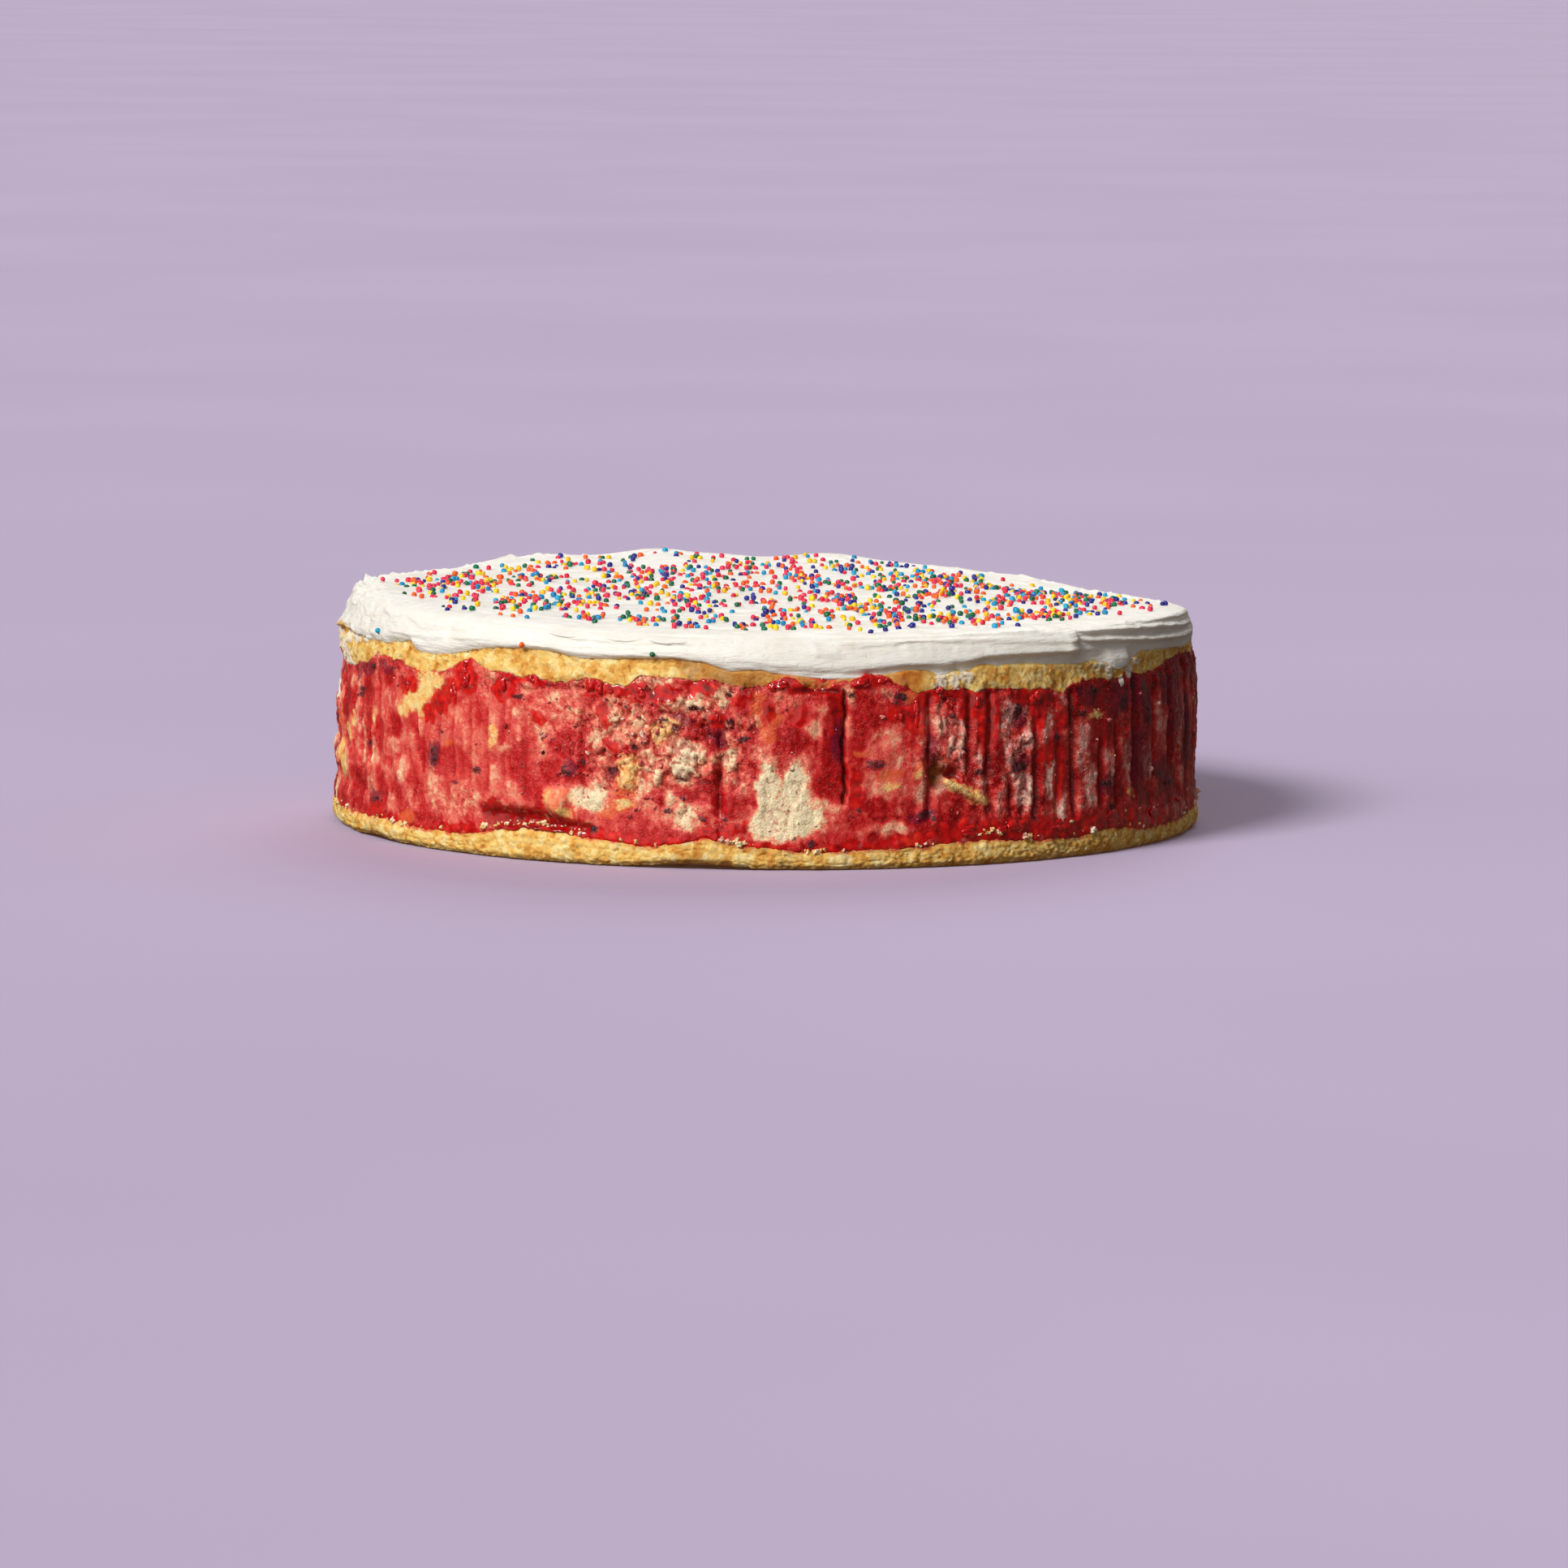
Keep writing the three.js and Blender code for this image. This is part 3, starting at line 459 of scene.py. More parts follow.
# Dark crumb and fruit skin; a few of them, such as the one under a lump at -9, 41 and the pit at -2.9, 33, are painted
# shade.
DARK = [
    (-62.6, 10.0, 1.1, 0.7), (-46.7, 31.2, 0.5, 0.6), (-40.3, 22.3, 0.6, 0.9), (-48.2, 24.2, 0.42, 2.9), (-44.2, 18.5, 0.7, 0.4),
    (-26.2, 23.6, 0.7, 0.8), (-24.0, 26.0, 0.45, 0.9), (-19.9, 24.6, 0.8, 0.7), (-18.2, 41.0, 0.4, 0.5),
    (-16.8, 30.8, 0.5, 0.6), (-13.2, 38.0, 0.8, 0.5), (-11.6, 36.0, 0.4, 0.6),
    (-9.0, 41.0, 1.2, 0.4), (-4.7, 45.0, 0.5, 0.7), (-4.4, 37.5, 0.5, 1.5), (-2.9, 33.0, 0.7, 0.8),
    (-10.5, 17.8, 0.6, 0.5), (-12.4, 14.8, 0.7, 0.5), (-8.0, 12.8, 0.7, 0.5), (-5.2, 13.4, 0.4, 0.4), (-22.3, 9.2, 0.7, 0.8),
    (-30.4, 47.0, 0.4, 0.35), (-29.0, 45.6, 0.35, 0.35), (5.8, 6.6, 0.5, 0.9), (3.4, 25.7, 0.45, 0.4), (11.0, 45.0, 0.5, 0.5),
    (17.3, 43.8, 0.9, 0.8), (16.5, 42.0, 0.6, 0.5), (14.2, 27.3, 1.25, 0.8), (13.5, 26.5, 0.8, 0.6), (12.0, 15.0, 0.4, 0.35),
    (21.0, 30.2, 0.45, 0.4), (20.5, 14.0, 0.8, 0.8), (22.0, 12.5, 0.45, 0.8), (28.5, 24.0, 0.7, 0.8), (29.5, 37.3, 0.45, 0.4),
    (26.6, 35.5, 0.4, 0.6), (34.2, 39.0, 0.6, 2.2), (34.3, 24.8, 0.9, 1.7), (35.3, 24.3, 0.5, 0.6), (37.2, 10.2, 0.5, 0.7),
    (40.5, 31.5, 0.6, 0.8), (47.5, 43.0, 1.2, 0.9), (45.0, 37.0, 1.0, 0.5), (50.3, 18.0, 1.1, 0.8), (51.5, 12.0, 0.7, 1.1),
    (54.0, 39.0, 0.9, 1.8), (56.5, 41.0, 0.6, 3.0), (58.8, 42.0, 0.7, 1.5), (59.5, 37.0, 0.5, 1.5), (60.0, 33.5, 0.6, 2.2),
    (64.3, 44.0, 0.5, 0.6), (63.5, 18.0, 0.9, 1.2), (67.5, 15.5, 1.3, 0.7), (-64.0, 45.2, 0.6, 1.0), (-58.0, 45.6, 0.4, 0.9),
    (-68.6, 38.0, 0.4, 1.4), (-67.8, 31.0, 0.35, 1.6), (-65.0, 24.6, 0.35, 1.0), (-33.8, 42.0, 0.9, 0.4), (-30.0, 32.6, 0.4, 0.4),
    (-28.2, 31.8, 0.35, 0.3), (-10.8, 22.8, 0.7, 0.35), (-17.4, 13.0, 0.4, 0.4), (24.6, 38.6, 0.4, 0.5), (26.4, 29.2, 0.4, 0.5),
]

ICY = [  # smears of icing on the cut side
    (-84.2, 36.6, 1.5, 1.5), (-83.0, 35.2, 1.2, 1.6), (-81.8, 34.0, 0.9, 0.9), (-77.0, 45.6, 0.9, 2.0), (-80.4, 45.0, 0.8, 1.2), (-74.8, 44.2, 0.9, 0.7),
    (-83.2, 46.6, 0.9, 1.3), (-87.0, 45.8, 1.0, 1.2), (-79.0, 48.2, 1.2, 1.2), (-84.6, 49.4, 1.8, 1.3), (-71.6, 51.0, 1.6, 0.8), (-67.6, 51.4, 1.2, 0.6),
    (-92.0, 47.4, 1.2, 1.6), (-96.0, 49.2, 1.6, 1.2), (-76.0, 50.6, 1.0, 1.0), (-88.4, 51.0, 2.2, 1.0), (-124.0, 44.6, 0.6, 1.0), (-130.0, 49.4, 1.8, 1.0),
    (24.8, 47.6, 0.7, 1.4), (26.4, 48.6, 0.9, 0.9), (22.9, 47.3, 0.8, 2.0), (50.8, 47.2, 0.8, 1.4), (55.6, 47.2, 0.9, 1.2), (53.4, 44.2, 0.35, 1.5), (48.9, 49.0, 0.9, 0.6), (57.6, 48.8, 1.0, 0.8),
]

rng = np.random.default_rng(20260)


def unseen_places():
    """The side that faces away carries the same mix, strewn by a seeded generator."""
    out = {k: [] for k in ("cream", "blush", "yellow", "orange", "jelly", "soaked", "purple", "dark")}

    def strew(kind, n, w, h, low, high):
        for _ in range(n):
            t = rng.uniform(80, 282)
            out[kind].append((t if t < 180 else t - 360, rng.uniform(low, high), rng.uniform(*w), rng.uniform(*h)))

    for _ in range(30):  # pale crumb lies in broken groups
        at, mid, wide = rng.uniform(80, 282), rng.uniform(12, 40), rng.uniform(0.6, 1.6)
        for _ in range(rng.integers(2, 6)):
            t = at + rng.normal() * wide
            out["cream"].append((t if t < 180 else t - 360, mid + 2.4 * rng.normal(), rng.uniform(0.5, 1.3), rng.uniform(0.9, 3.6)))
    strew("cream", 3, (2.0, 3.0), (3.6, 6.0), 12, 34)
    strew("blush", 46, (1.2, 3.4), (2.0, 4.4), 10, 44)
    strew("yellow", 20, (0.5, 1.3), (0.8, 2.2), 11, 43)
    strew("orange", 16, (0.8, 1.8), (0.9, 2.2), 9, 44)
    strew("jelly", 48, (0.9, 2.2), (1.2, 4.2), 30, 46)
    strew("jelly", 34, (2.4, 5.0), (0.9, 2.0), 6.2, 9.5)
    strew("soaked", 70, (0.8, 2.2), (2.2, 7.5), 10, 44)
    strew("purple", 26, (0.7, 1.8), (1.4, 4.4), 9, 45)
    strew("dark", 78, (0.35, 1.1), (0.35, 1.7), 8, 46)
    return out


def unseen_grooves():
    out, t = [], 84.0
    while t < 277:
        low = rng.uniform(8, 22)
        out.append((t if t < 180 else t - 360, low, rng.uniform(max(low + 10, 30), 46), rng.uniform(0.4, 1.35), rng.uniform(0.3, 0.65)))
        t += rng.uniform(2.2, 4.6)
    return out


away = unseen_places()
PLACES = {
    "cream": CREAM + away["cream"], "blush": BLUSH + away["blush"], "yellow": YELLOW + away["yellow"],
    "orange": ORANGE + away["orange"], "jelly": JELLY + away["jelly"], "soaked": SOAKED + away["soaked"],
    "purple": PURPLE + away["purple"], "dark": DARK + away["dark"], "icy": ICY,
}
ALL_GROOVES = GROOVES + unseen_grooves()

# The outline of the side at the left, at the right and elsewhere: height, radius.
OUTLINE = {
    -90: [(0, 115.6), (6, 116.3), (9, 116.3), (13, 115.2), (17, 116.1), (19.4, 116.0), (23, 114.8), (27, 115.1),
          (32.6, 115.5), (35.2, 114.6), (40.5, 114.0), (43, 113.4), (45.7, 114.1), (48.4, 114.6), (52, 113.8)],
    90: [(0, 115.4), (7, 115.7), (13, 115.1), (20, 115.2), (28, 115.3), (34, 115.3), (40, 114.7), (43.3, 114.8),
         (47, 113.6), (50, 113.6), (53, 113.2)],
    0: [(0, 115.2), (6, 115.2), (12, 115.1), (20, 115.0), (30, 115.2), (40, 115.0), (46, 114.7), (50, 114.2), (53, 113.6)],
}


def wall(t, z):
    """The radius of the side before its crumb."""
    a, b, c = (np.interp(z, [p[0] for p in OUTLINE[k]], [p[1] for p in OUTLINE[k]]) for k in (-90, 90, 0))
    left = hump(t, -88, 22)
    right = hump(t, 90, 30)
    return a * left + b * right + c * np.clip(1 - left - right, 0, 1)


def strength(kind, at, w, tall):
    """Small pale places and those on the ridges at the right have taken up some red."""
    if kind == "yellow":
        return 0.62 + 0.38 * min(1.0, max(w * tall - 2.5, 0) / 6.0)
    if kind != "cream":
        return 1.0
    much = 0.5 + 0.5 * min(1.0, max(w * tall - 3.0, 0) / 8.0)
    # Past 43 degrees the pale places are also kept dimmer, as painted shade on the side turned from the light.
    return much * (0.68 if 18 < at < 43 else 0.56 if 43 <= at < 90 else 0.78 if -64 < at < -33 else 0.9 if abs(at) > 90 else 1.0)


def place_mask(kind, t, z, warp_t, warp_z, grow=0.2, stray=1.0, soft=0.95):
    """How much of a kind of place lies at each point: 1 inside, about a half at its edge, 0 well outside.
    warp_t and warp_z are millimetres by which the places are pulled out of shape."""
    k = R_WALL * math.pi / 180
    out = np.zeros(len(t))
    for at, h, w, tall in PLACES[kind]:
        pull = stray * min(1.0, 0.35 + 0.3 * min(w, tall))
        w = w * k
        close = (np.abs(apart(t, at)) * k < w * 1.6 + 4.5) & (np.abs(z - h) < tall * 1.6 + 4.5)
        if not close.any():
            continue
        u = (apart(t[close], at) * k + pull * warp_t[close]) / (w + grow)
        v = (z[close] - h + pull * warp_z[close]) / (tall + grow)
        m = strength(kind, at, w, tall) * (1 - smooth(1 - 0.55 * soft, 1 + 0.5 * soft, np.sqrt(u * u + v * v)))
        out[close] = np.maximum(out[close], m)
    return out


def along(t, z, a, b):
    """Distance in millimetres from a straight line on the side, and the share of the way along it."""
    k = R_WALL * math.pi / 180
    dx, dz = (b[0] - a[0]) * k, b[1] - a[1]
    u, v = apart(t, a[0]) * k, z - a[1]
    s = np.clip((u * dx + v * dz) / (dx * dx + dz * dz), 0, 1)
    return np.hypot(u - s * dx, v - s * dz), s


N_WALL = 1280
F_ROWS = 72
CROWD = 0.2
wall_t = bearings(N_WALL, CROWD)
base_line = base_top(wall_t)
fill_line = fill_top(wall_t)
icing_line = icing_edge(wall_t)


def crumbs(p, size, seed, stretch=1.0):
    """Blocky crumb: its height with crevices between the crumbs, a tone for each crumb, and the crevices."""
    w = p + 0.22 * size * np.stack([fbm(p + 31, size * 1.2, seed, 2), fbm(p + 57, size * 1.2, seed + 1, 2), fbm(p + 83, size * 1.2, seed + 2, 2)], -1)
    f1, f2, who = cells(w * np.array([1, 1, stretch]), size, seed + 3)
    gap = f2 - f1
    return smooth(0.0, 0.34, gap), who - 0.5, 1 - smooth(0.0, 0.2, gap)


def filling_side():
    s = np.linspace(0, 1, F_ROWS)
    t = np.tile(wall_t, F_ROWS)
    low, high = base_line - 0.15, fill_line + 0.1
    z = (high[None, :] + (low - high)[None, :] * s[:, None]).ravel()
    p = wall_points(t, z)
    up = p * np.array([1, 1, 0.36])  # stretched upright, as the grooves are
    tall = p * np.array([1, 1, 0.58])
    a, b = fbm(p, 3.4, 31, 3, 0.6), fbm(p, 1.3, 32, 2)
    big, big_tone, big_gap = crumbs(p, 2.35, 38, 0.85)
    mid, mid_tone, mid_gap = crumbs(p, 1.2, 48)
    warp_t = 1.9 * fbm(p + 11, 4.6, 71, 2) + 0.9 * fbm(p, 1.7, 72, 2) + 0.5 * big_tone + 0.35 * mid_tone
    warp_z = 2.1 * fbm(p + 23, 4.8, 73, 2) + 0.9 * fbm(p + 5, 1.8, 74, 2) - 0.4 * big_tone + 0.35 * (mid_tone + big_tone) * np.sign(b)
    m = {k: place_mask(k, t, z, warp_t, warp_z, grow, stray) for k, grow, stray in
         (("cream", 0.45, 1.0), ("blush", 0.6, 1.1), ("yellow", 0.5, 1.0), ("orange", 0.5, 1.1), ("jelly", 0.75, 1.1), ("soaked", 0.5, 1.2),
          ("purple", 0.6, 1.2), ("dark", 0.25, 0.7), ("icy", 0.3, 0.9))}
    # grooves
    groove = np.zeros(len(t))
    wave = fbm(p * np.array([1, 1, 0.5]), 9.0, 33, 2)
    for at, g0, g1, depth, half in ALL_GROOVES:
        close = np.abs(apart(t, at)) < half * 3.2 + 1
        zz = z[close]
        x = np.abs(apart(t[close], at) + 0.25 * wave[close]) / half
        win = smooth(g0 - 2.2, g0 + 1.8, zz) * (1 - smooth(g1 - 2.0, g1 + 2.4, zz))
        groove[close] += depth * win * (np.exp(-(x ** 1.7) * 1.1) - 0.2 * np.exp(-(((x - 2.1) / 0.8) ** 2)))
    # the slanting groove right of the front, and the deep crack beside it
    x = np.abs(apart(t, 43.95 - (z - 12) * 0.025)) / 0.42
    groove += 1.6 * np.exp(-(x ** 1.8)) * smooth(9, 13, z) * (1 - smooth(42, 45, z))
    c = CRACK
    x = apart(t, c["at"] + 0.16 * np.sin(z * 0.35) + 0.07 * np.sin(z * 1.3))
    win = smooth(c["low"] - 0.6, c["low"] + 0.8, z) * (1 - smooth(c["high"] - 1.5, c["high"] + 0.5, z))
    crack = c["depth"] * np.exp(-((x / 0.2) ** 2)) * win
    beside = np.where(x < 0, 0.75 * np.exp(-((x / 1.5) ** 2)) * win * smooth(14, 20, z), 0.0)
    hollow = 3.2 * np.exp(-((apart(t, 22.3) / 0.75) ** 2 + ((z - 24.0) / 3.8) ** 2) ** 1.6)
    hollow += 2.4 * np.exp(-((apart(t, 24.2) / 1.3) ** 2 + ((z - 23.6) / 1.7) ** 2) ** 1.4)
    drop = z - 10.6 + 0.12 * apart(t, -33.0)
    under = 2.3 * np.exp(-((apart(t, -32.4) / 6.4) ** 2 + (drop / np.where(drop > 0, 2.5, 4.4)) ** 2) ** 1.5)
    under *= smooth(0.1, 1.0, (z.reshape(F_ROWS, -1) - low[None, :]).ravel())
    under += 1.2 * np.exp(-((apart(t, -25.8) / 3.4) ** 2 + ((z - 9.4) / 1.0) ** 2) ** 1.5)
    ledge = 1.9 * np.exp(-((apart(t, 6.3) / 2.6) ** 2 + ((z - 45.8) / 0.75) ** 2) ** 1.5)
    knob = 1.9 * np.exp(-((apart(t, -27.7) / 1.6) ** 2 + ((z - 15.8) / 3.3) ** 2) ** 2) - 0.8 * np.exp(-((apart(t, -25.6) / 0.5) ** 2 + ((z - 15.0) / 3.4) ** 2) ** 1.5)
    flake_d, flake_s = along(t, z + 0.25 * a, (23.8, 21.8), (29.4, 16.2))
    flake = 1 - smooth(0.7, 1.15, flake_d)
    # how crumbly the side is, from scraped smooth to torn
    torn = 0.30 + 0.26 * fbm(p, 13, 34, 2)
    torn += 0.66 * np.clip(hump(t, -19, 8) + hump(t, -8, 7), 0, 1) * smooth(16, 25, z) + 0.45 * hump(t, 24.5, 3.5) * smooth(18, 24, z) + 0.25 * hump(t, 35, 5)
    torn += 0.34 * m["cream"] + 0.15 * m["blush"] + 0.5 * hump(t, 150, 16) * smooth(10, 22, z) + 0.4 * hump(t, -128, 13) + 0.35 * smooth(41, 45.5, z)
    torn -= 0.2 * hump(t, -46, 13) * smooth(18, 24, z) * (1 - smooth(36, 42, z)) + 0.15 * hump(t, 15, 4) + 0.1 * hump(t, 7, 3)
    torn = np.clip(torn, 0.12, 1.15) * (1 - 0.6 * m["jelly"]) * (1 - 0.25 * m["soaked"])
    # chunks with creases between them
    warp = p + 1.5 * np.stack([fbm(p + 40, 5, 35, 2), fbm(p + 80, 5, 36, 2), fbm(p + 120, 5, 37, 2)], -1)
    f1, f2, who = cells(warp * np.array([1, 1, 0.72]), 6.6, 58)
    gap = f2 - f1
    crease = np.exp(-((gap / 0.07) ** 2)) * smooth(0.6, 1.05, torn + 0.4 * (who - 0.5))
    chunk = (who - 0.5) * 1.3 * smooth(0.35, 1.1, torn) * smooth(0.0, 0.14, gap)
    l1, l2, lw = cells((warp + 0.5 * np.stack([a, b, a], -1)) * np.array([1, 1, 0.9]), 3.7, 59)
    dome = (0.5 - l1) * 1.0 + (lw - 0.5) * 1.1
    valley = 1 - smooth(0.0, 0.16, l2 - l1)
    rugged = smooth(0.55, 1.0, torn)
    chunk = chunk + rugged * (1 - 0.65 * m["cream"]) * (dome * smooth(0.0, 0.2, l2 - l1) - 0.35 * valley)
    k1, k2, kw = cells(p * np.array([1, 1, 0.8]), 4.0, 41)
    pit = np.exp(-((k1 / 0.2) ** 2)) * (kw > 0.62) * smooth(0.55, 1.0, torn)
    slow = 0.42 * fbm(p, 22, 42, 2) + 0.22 * fbm(p, 8, 43, 2)
    flute = 0.34 * fbm(up, 3.1, 44, 2)
    fine = 0.12 * fbm(p, 0.9, 45, 2)
    small = torn * (0.42 * (big - 0.75) + 0.5 * big_tone + 0.24 * (mid - 0.75) + 0.3 * mid_tone) + fine * (1 - 0.6 * m["jelly"])
    swell = 0.25 * m["cream"] + 0.2 * m["yellow"] - 0.1 * m["soaked"] + 0.2 * m["dark"] + 0.9 * flake + 0.4 * m["icy"] * (1 + 0.9 * b)
    sauce = m["jelly"] * (0.1 + 0.35 * fbm(p, 2.6, 46, 2))
    d = slow + flute - groove - crack - beside - hollow * (1 - flake) - under - ledge + knob + swell + sauce
    d = d + (chunk + small) * (1 - 0.8 * m["jelly"]) - 0.8 * crease - 1.0 * pit * (1 - m["jelly"]) * (1 - 0.8 * m["cream"])
    # the edges turn in under the sponge above and on the sponge below
    edge_up = (high[None, :] - z.reshape(F_ROWS, -1)).ravel()
    edge_down = (z.reshape(F_ROWS, -1) - low[None, :]).ravel()
    d -= 0.25 * np.exp(-((edge_down / 0.5) ** 2))
    r = wall(t, z) - 0.2 + 0.12 * np.exp(-((edge_up / 2.0) ** 2)) + d
    # Painted shade for the grooves, the crack and the strip left of it, the hollows near 23 degrees, the recess low at
    # the front left, the creases, pits and gaps between crumbs, the valleys between lumps, the groove under the top
    # near 6 degrees and the jam below the icing at the front. Raised crumbs and lumps go below zero, and there the
    # finish paints highlight.
    crevice = torn * (0.75 * big_gap * (0.4 + 0.6 * mid_gap) + 0.3 * mid_gap)
    painted_shading = 0.5 * groove + 0.9 * crack + 0.35 * beside + 0.5 * hollow * (1 - flake) + 0.75 * under + 0.7 * crease + 0.8 * pit * (1 - 0.8 * m["cream"]) + 0.7 * ledge + rugged * (0.36 * valley - 0.18 * dome)
    painted_shading = painted_shading + 1.2 * np.exp(-((apart(t, -31.5) / 8.5) ** 2 + ((z - 9.4) / 3.3) ** 2) ** 2) * m["jelly"]
    painted_shading = painted_shading + 0.8 * crevice - 0.7 * small + 0.5 * m["jelly"] * smooth(-8, 0, t) * (t < 90) * smooth(34, 42, z)
    # patches of crumb that took up more or less of the syrup, with some painted shade and light as marked below
    pull = np.stack([warp_t, 0.6 * warp_z, warp_z], -1)
    g1, g2, tone = cells((tall + 0.9 * pull) * np.array([1, 1, 1.2]), 4.4, 75)
    h1, h2, tone2 = cells((tall + 0.7 * pull) * np.array([1, 1, 1.4]), 2.3, 76)
    patch = (tone - 0.5) * smooth(0.0, 0.16, g2 - g1) + 0.6 * (tone2 - 0.5) * smooth(0.0, 0.16, h2 - h1)
    blot = fbm(tall + 2.2 * np.stack([a, b, a], -1), 7.5, 47, 3, 0.55)
    even = hump(t, -44, 22)
    soak_and_shade = 0.49 + (0.34 - 0.22 * even) * blot + (0.25 - 0.05 * even) * patch + (0.16 - 0.09 * even) * a - (0.17 - 0.08 * even) * m["blush"] - 0.07 * rugged
    # Painted shade and light: the grooves and the strip left of the crack get redder, darker crumb, and the raised
    # sides of the grooves paler crumb.
    soak_and_shade += torn * (-0.18 * big_tone + 0.12 * mid_tone) + 0.18 * np.clip(groove, 0, 1) - 0.10 * np.clip(-groove / 0.2, 0, 1)
    soak_and_shade += 0.25 * np.clip(beside, 0, 1) + 0.06 * smooth(38, 46, z) + 0.10 * smooth(13, 8, z)
    # The crumb round 70 degrees is made a deeper red, and partly darker as painted shade on the side turned from the
    # light.
    soak_and_shade += -0.05 * even + 0.05 * hump(t, 9, 12) + 0.10 * hump(t, 34, 14) + 0.28 * hump(t, 70, 24)
    soak_and_shade = np.clip(soak_and_shade, 0.2, 0.86)
    soak_and_shade = soak_and_shade + (0.86 - soak_and_shade) * (0.75 - 0.3 * even) * m["soaked"]
    soak_and_shade = soak_and_shade + (0.04 - 0.2 * m["cream"] ** 2 - soak_and_shade) * np.clip(m["cream"], 0, 1)
    # the unseen back is like the front's middle
    soak_and_shade += 0.06 * hump(t, 180, 70)
    olive = np.exp(-((apart(t, 22.6) / 1.1) ** 2 + ((z - 23.6) / 4.2) ** 2) ** 1.2) * (1 - flake)
    seam = np.exp(-((edge_down / 1.3) ** 2)) * np.clip(0.55 + 1.1 * fbm(p, 7, 77, 2), 0, 1)
    seam = np.maximum(seam, np.exp(-((edge_up / 1.0) ** 2)) * np.clip(0.05 + 1.3 * fbm(p, 6, 78, 2), 0, 1))
    attrs = {
        "soak_and_shade": np.clip(soak_and_shade, -0.3, 1.05), "cream": np.clip(np.maximum(m["cream"], 0.9 * flake * (flake_s < 0.5)), 0, 1),
        "yellow": np.maximum(m["yellow"], 0.8 * flake), "orange": m["orange"], "jelly": np.clip(np.maximum(m["jelly"], 0.85 * seam), 0, 1), "purple": m["purple"],
        "dark": m["dark"] * (1 - m["icy"]), "icy": m["icy"], "painted_shading": np.clip(painted_shading, -0.5, 1.6), "olive": olive, "torn": torn,
    }
    return t, z, r, attrs


f_t, f_z, f_r, f_at = filling_side()


def halved(ring, n):
    """A coarser copy of a ring of bearings."""
    return ring[:: len(ring) // n]


def make_filling():
    rings, keep = [], {k: [] for k in f_at}

    def add(t, r, z, like=None):
        rings.append(spot(t, r, z))
        for k in keep:
            keep[k].append(like[k] if like is not None else np.full(len(t), {"soak_and_shade": 0.5}.get(k, 0.0)))

    def level(z, steps, outward):
        order = steps if outward else steps[::-1]
        for n, r in order:
            t = halved(wall_t, n) if n > 1 else np.zeros(1)
            add(t, np.full(len(t), float(r)), np.full(len(t), z))

    inner = [(1, 0), (20, 20), (40, 42), (80, 66), (160, 88), (320, 100), (640, 107), (1280, 110.5)]
    level(46.1, inner, True)
    R, Z = f_r.reshape(F_ROWS, -1), f_z.reshape(F_ROWS, -1)
    first = {k: v.reshape(F_ROWS, -1)[0] for k, v in f_at.items()}
    last = {k: v.reshape(F_ROWS, -1)[-1] for k, v in f_at.items()}
    add(wall_t, R[0] - 1.3, Z[0] - 0.05, first)
    for k in range(F_ROWS):
        add(wall_t, R[k], Z[k], {q: v.reshape(F_ROWS, -1)[k] for q, v in f_at.items()})
    add(wall_t, R[-1] - 1.3, Z[-1] + 0.1, last)
    level(6.1, inner, False)
    return ring_mesh("cake_filling", rings, {k: np.concatenate(v) for k, v in keep.items()}, share=0.93)


# ------------------------------------------------------------------ the two sponges

SEAM_ABOVE, SEAM_BELOW = f_r.reshape(F_ROWS, -1)[1], f_r.reshape(F_ROWS, -1)[-2]


def sponge_side(low, high, rows, seed, proud):
    s = np.linspace(0, 1, rows)
    t = np.tile(wall_t, rows)
    z = (high[None, :] + (low - high)[None, :] * s[:, None]).ravel()
    p = wall_points(t, z)
    a = fbm(p, 1.6, seed, 2)
    torn = np.clip(0.8 + 0.5 * fbm(p, 14, seed + 1, 2), 0.3, 1.2)
    big, big_tone, big_gap = crumbs(p, 2.1, seed + 10)
    mid, mid_tone, mid_gap = crumbs(p, 1.1, seed + 20)
    k1, k2, kw = cells(p * np.array([1, 1, 1.3]), 2.6, seed + 4)
    pore = 0.7 * np.exp(-((k1 / 0.24) ** 2)) * (kw > 0.6) + 0.4 * big_gap * mid_gap
    small = 0.78 * (0.4 * (big - 0.7) + 0.5 * big_tone + 0.22 * (mid - 0.7) + 0.32 * mid_tone)
    slow = 0.35 * fbm(p, 18, seed + 5, 2) + 0.25 * fbm(p, 6, seed + 6, 2)
    return t, z, p, torn, small, pore, slow


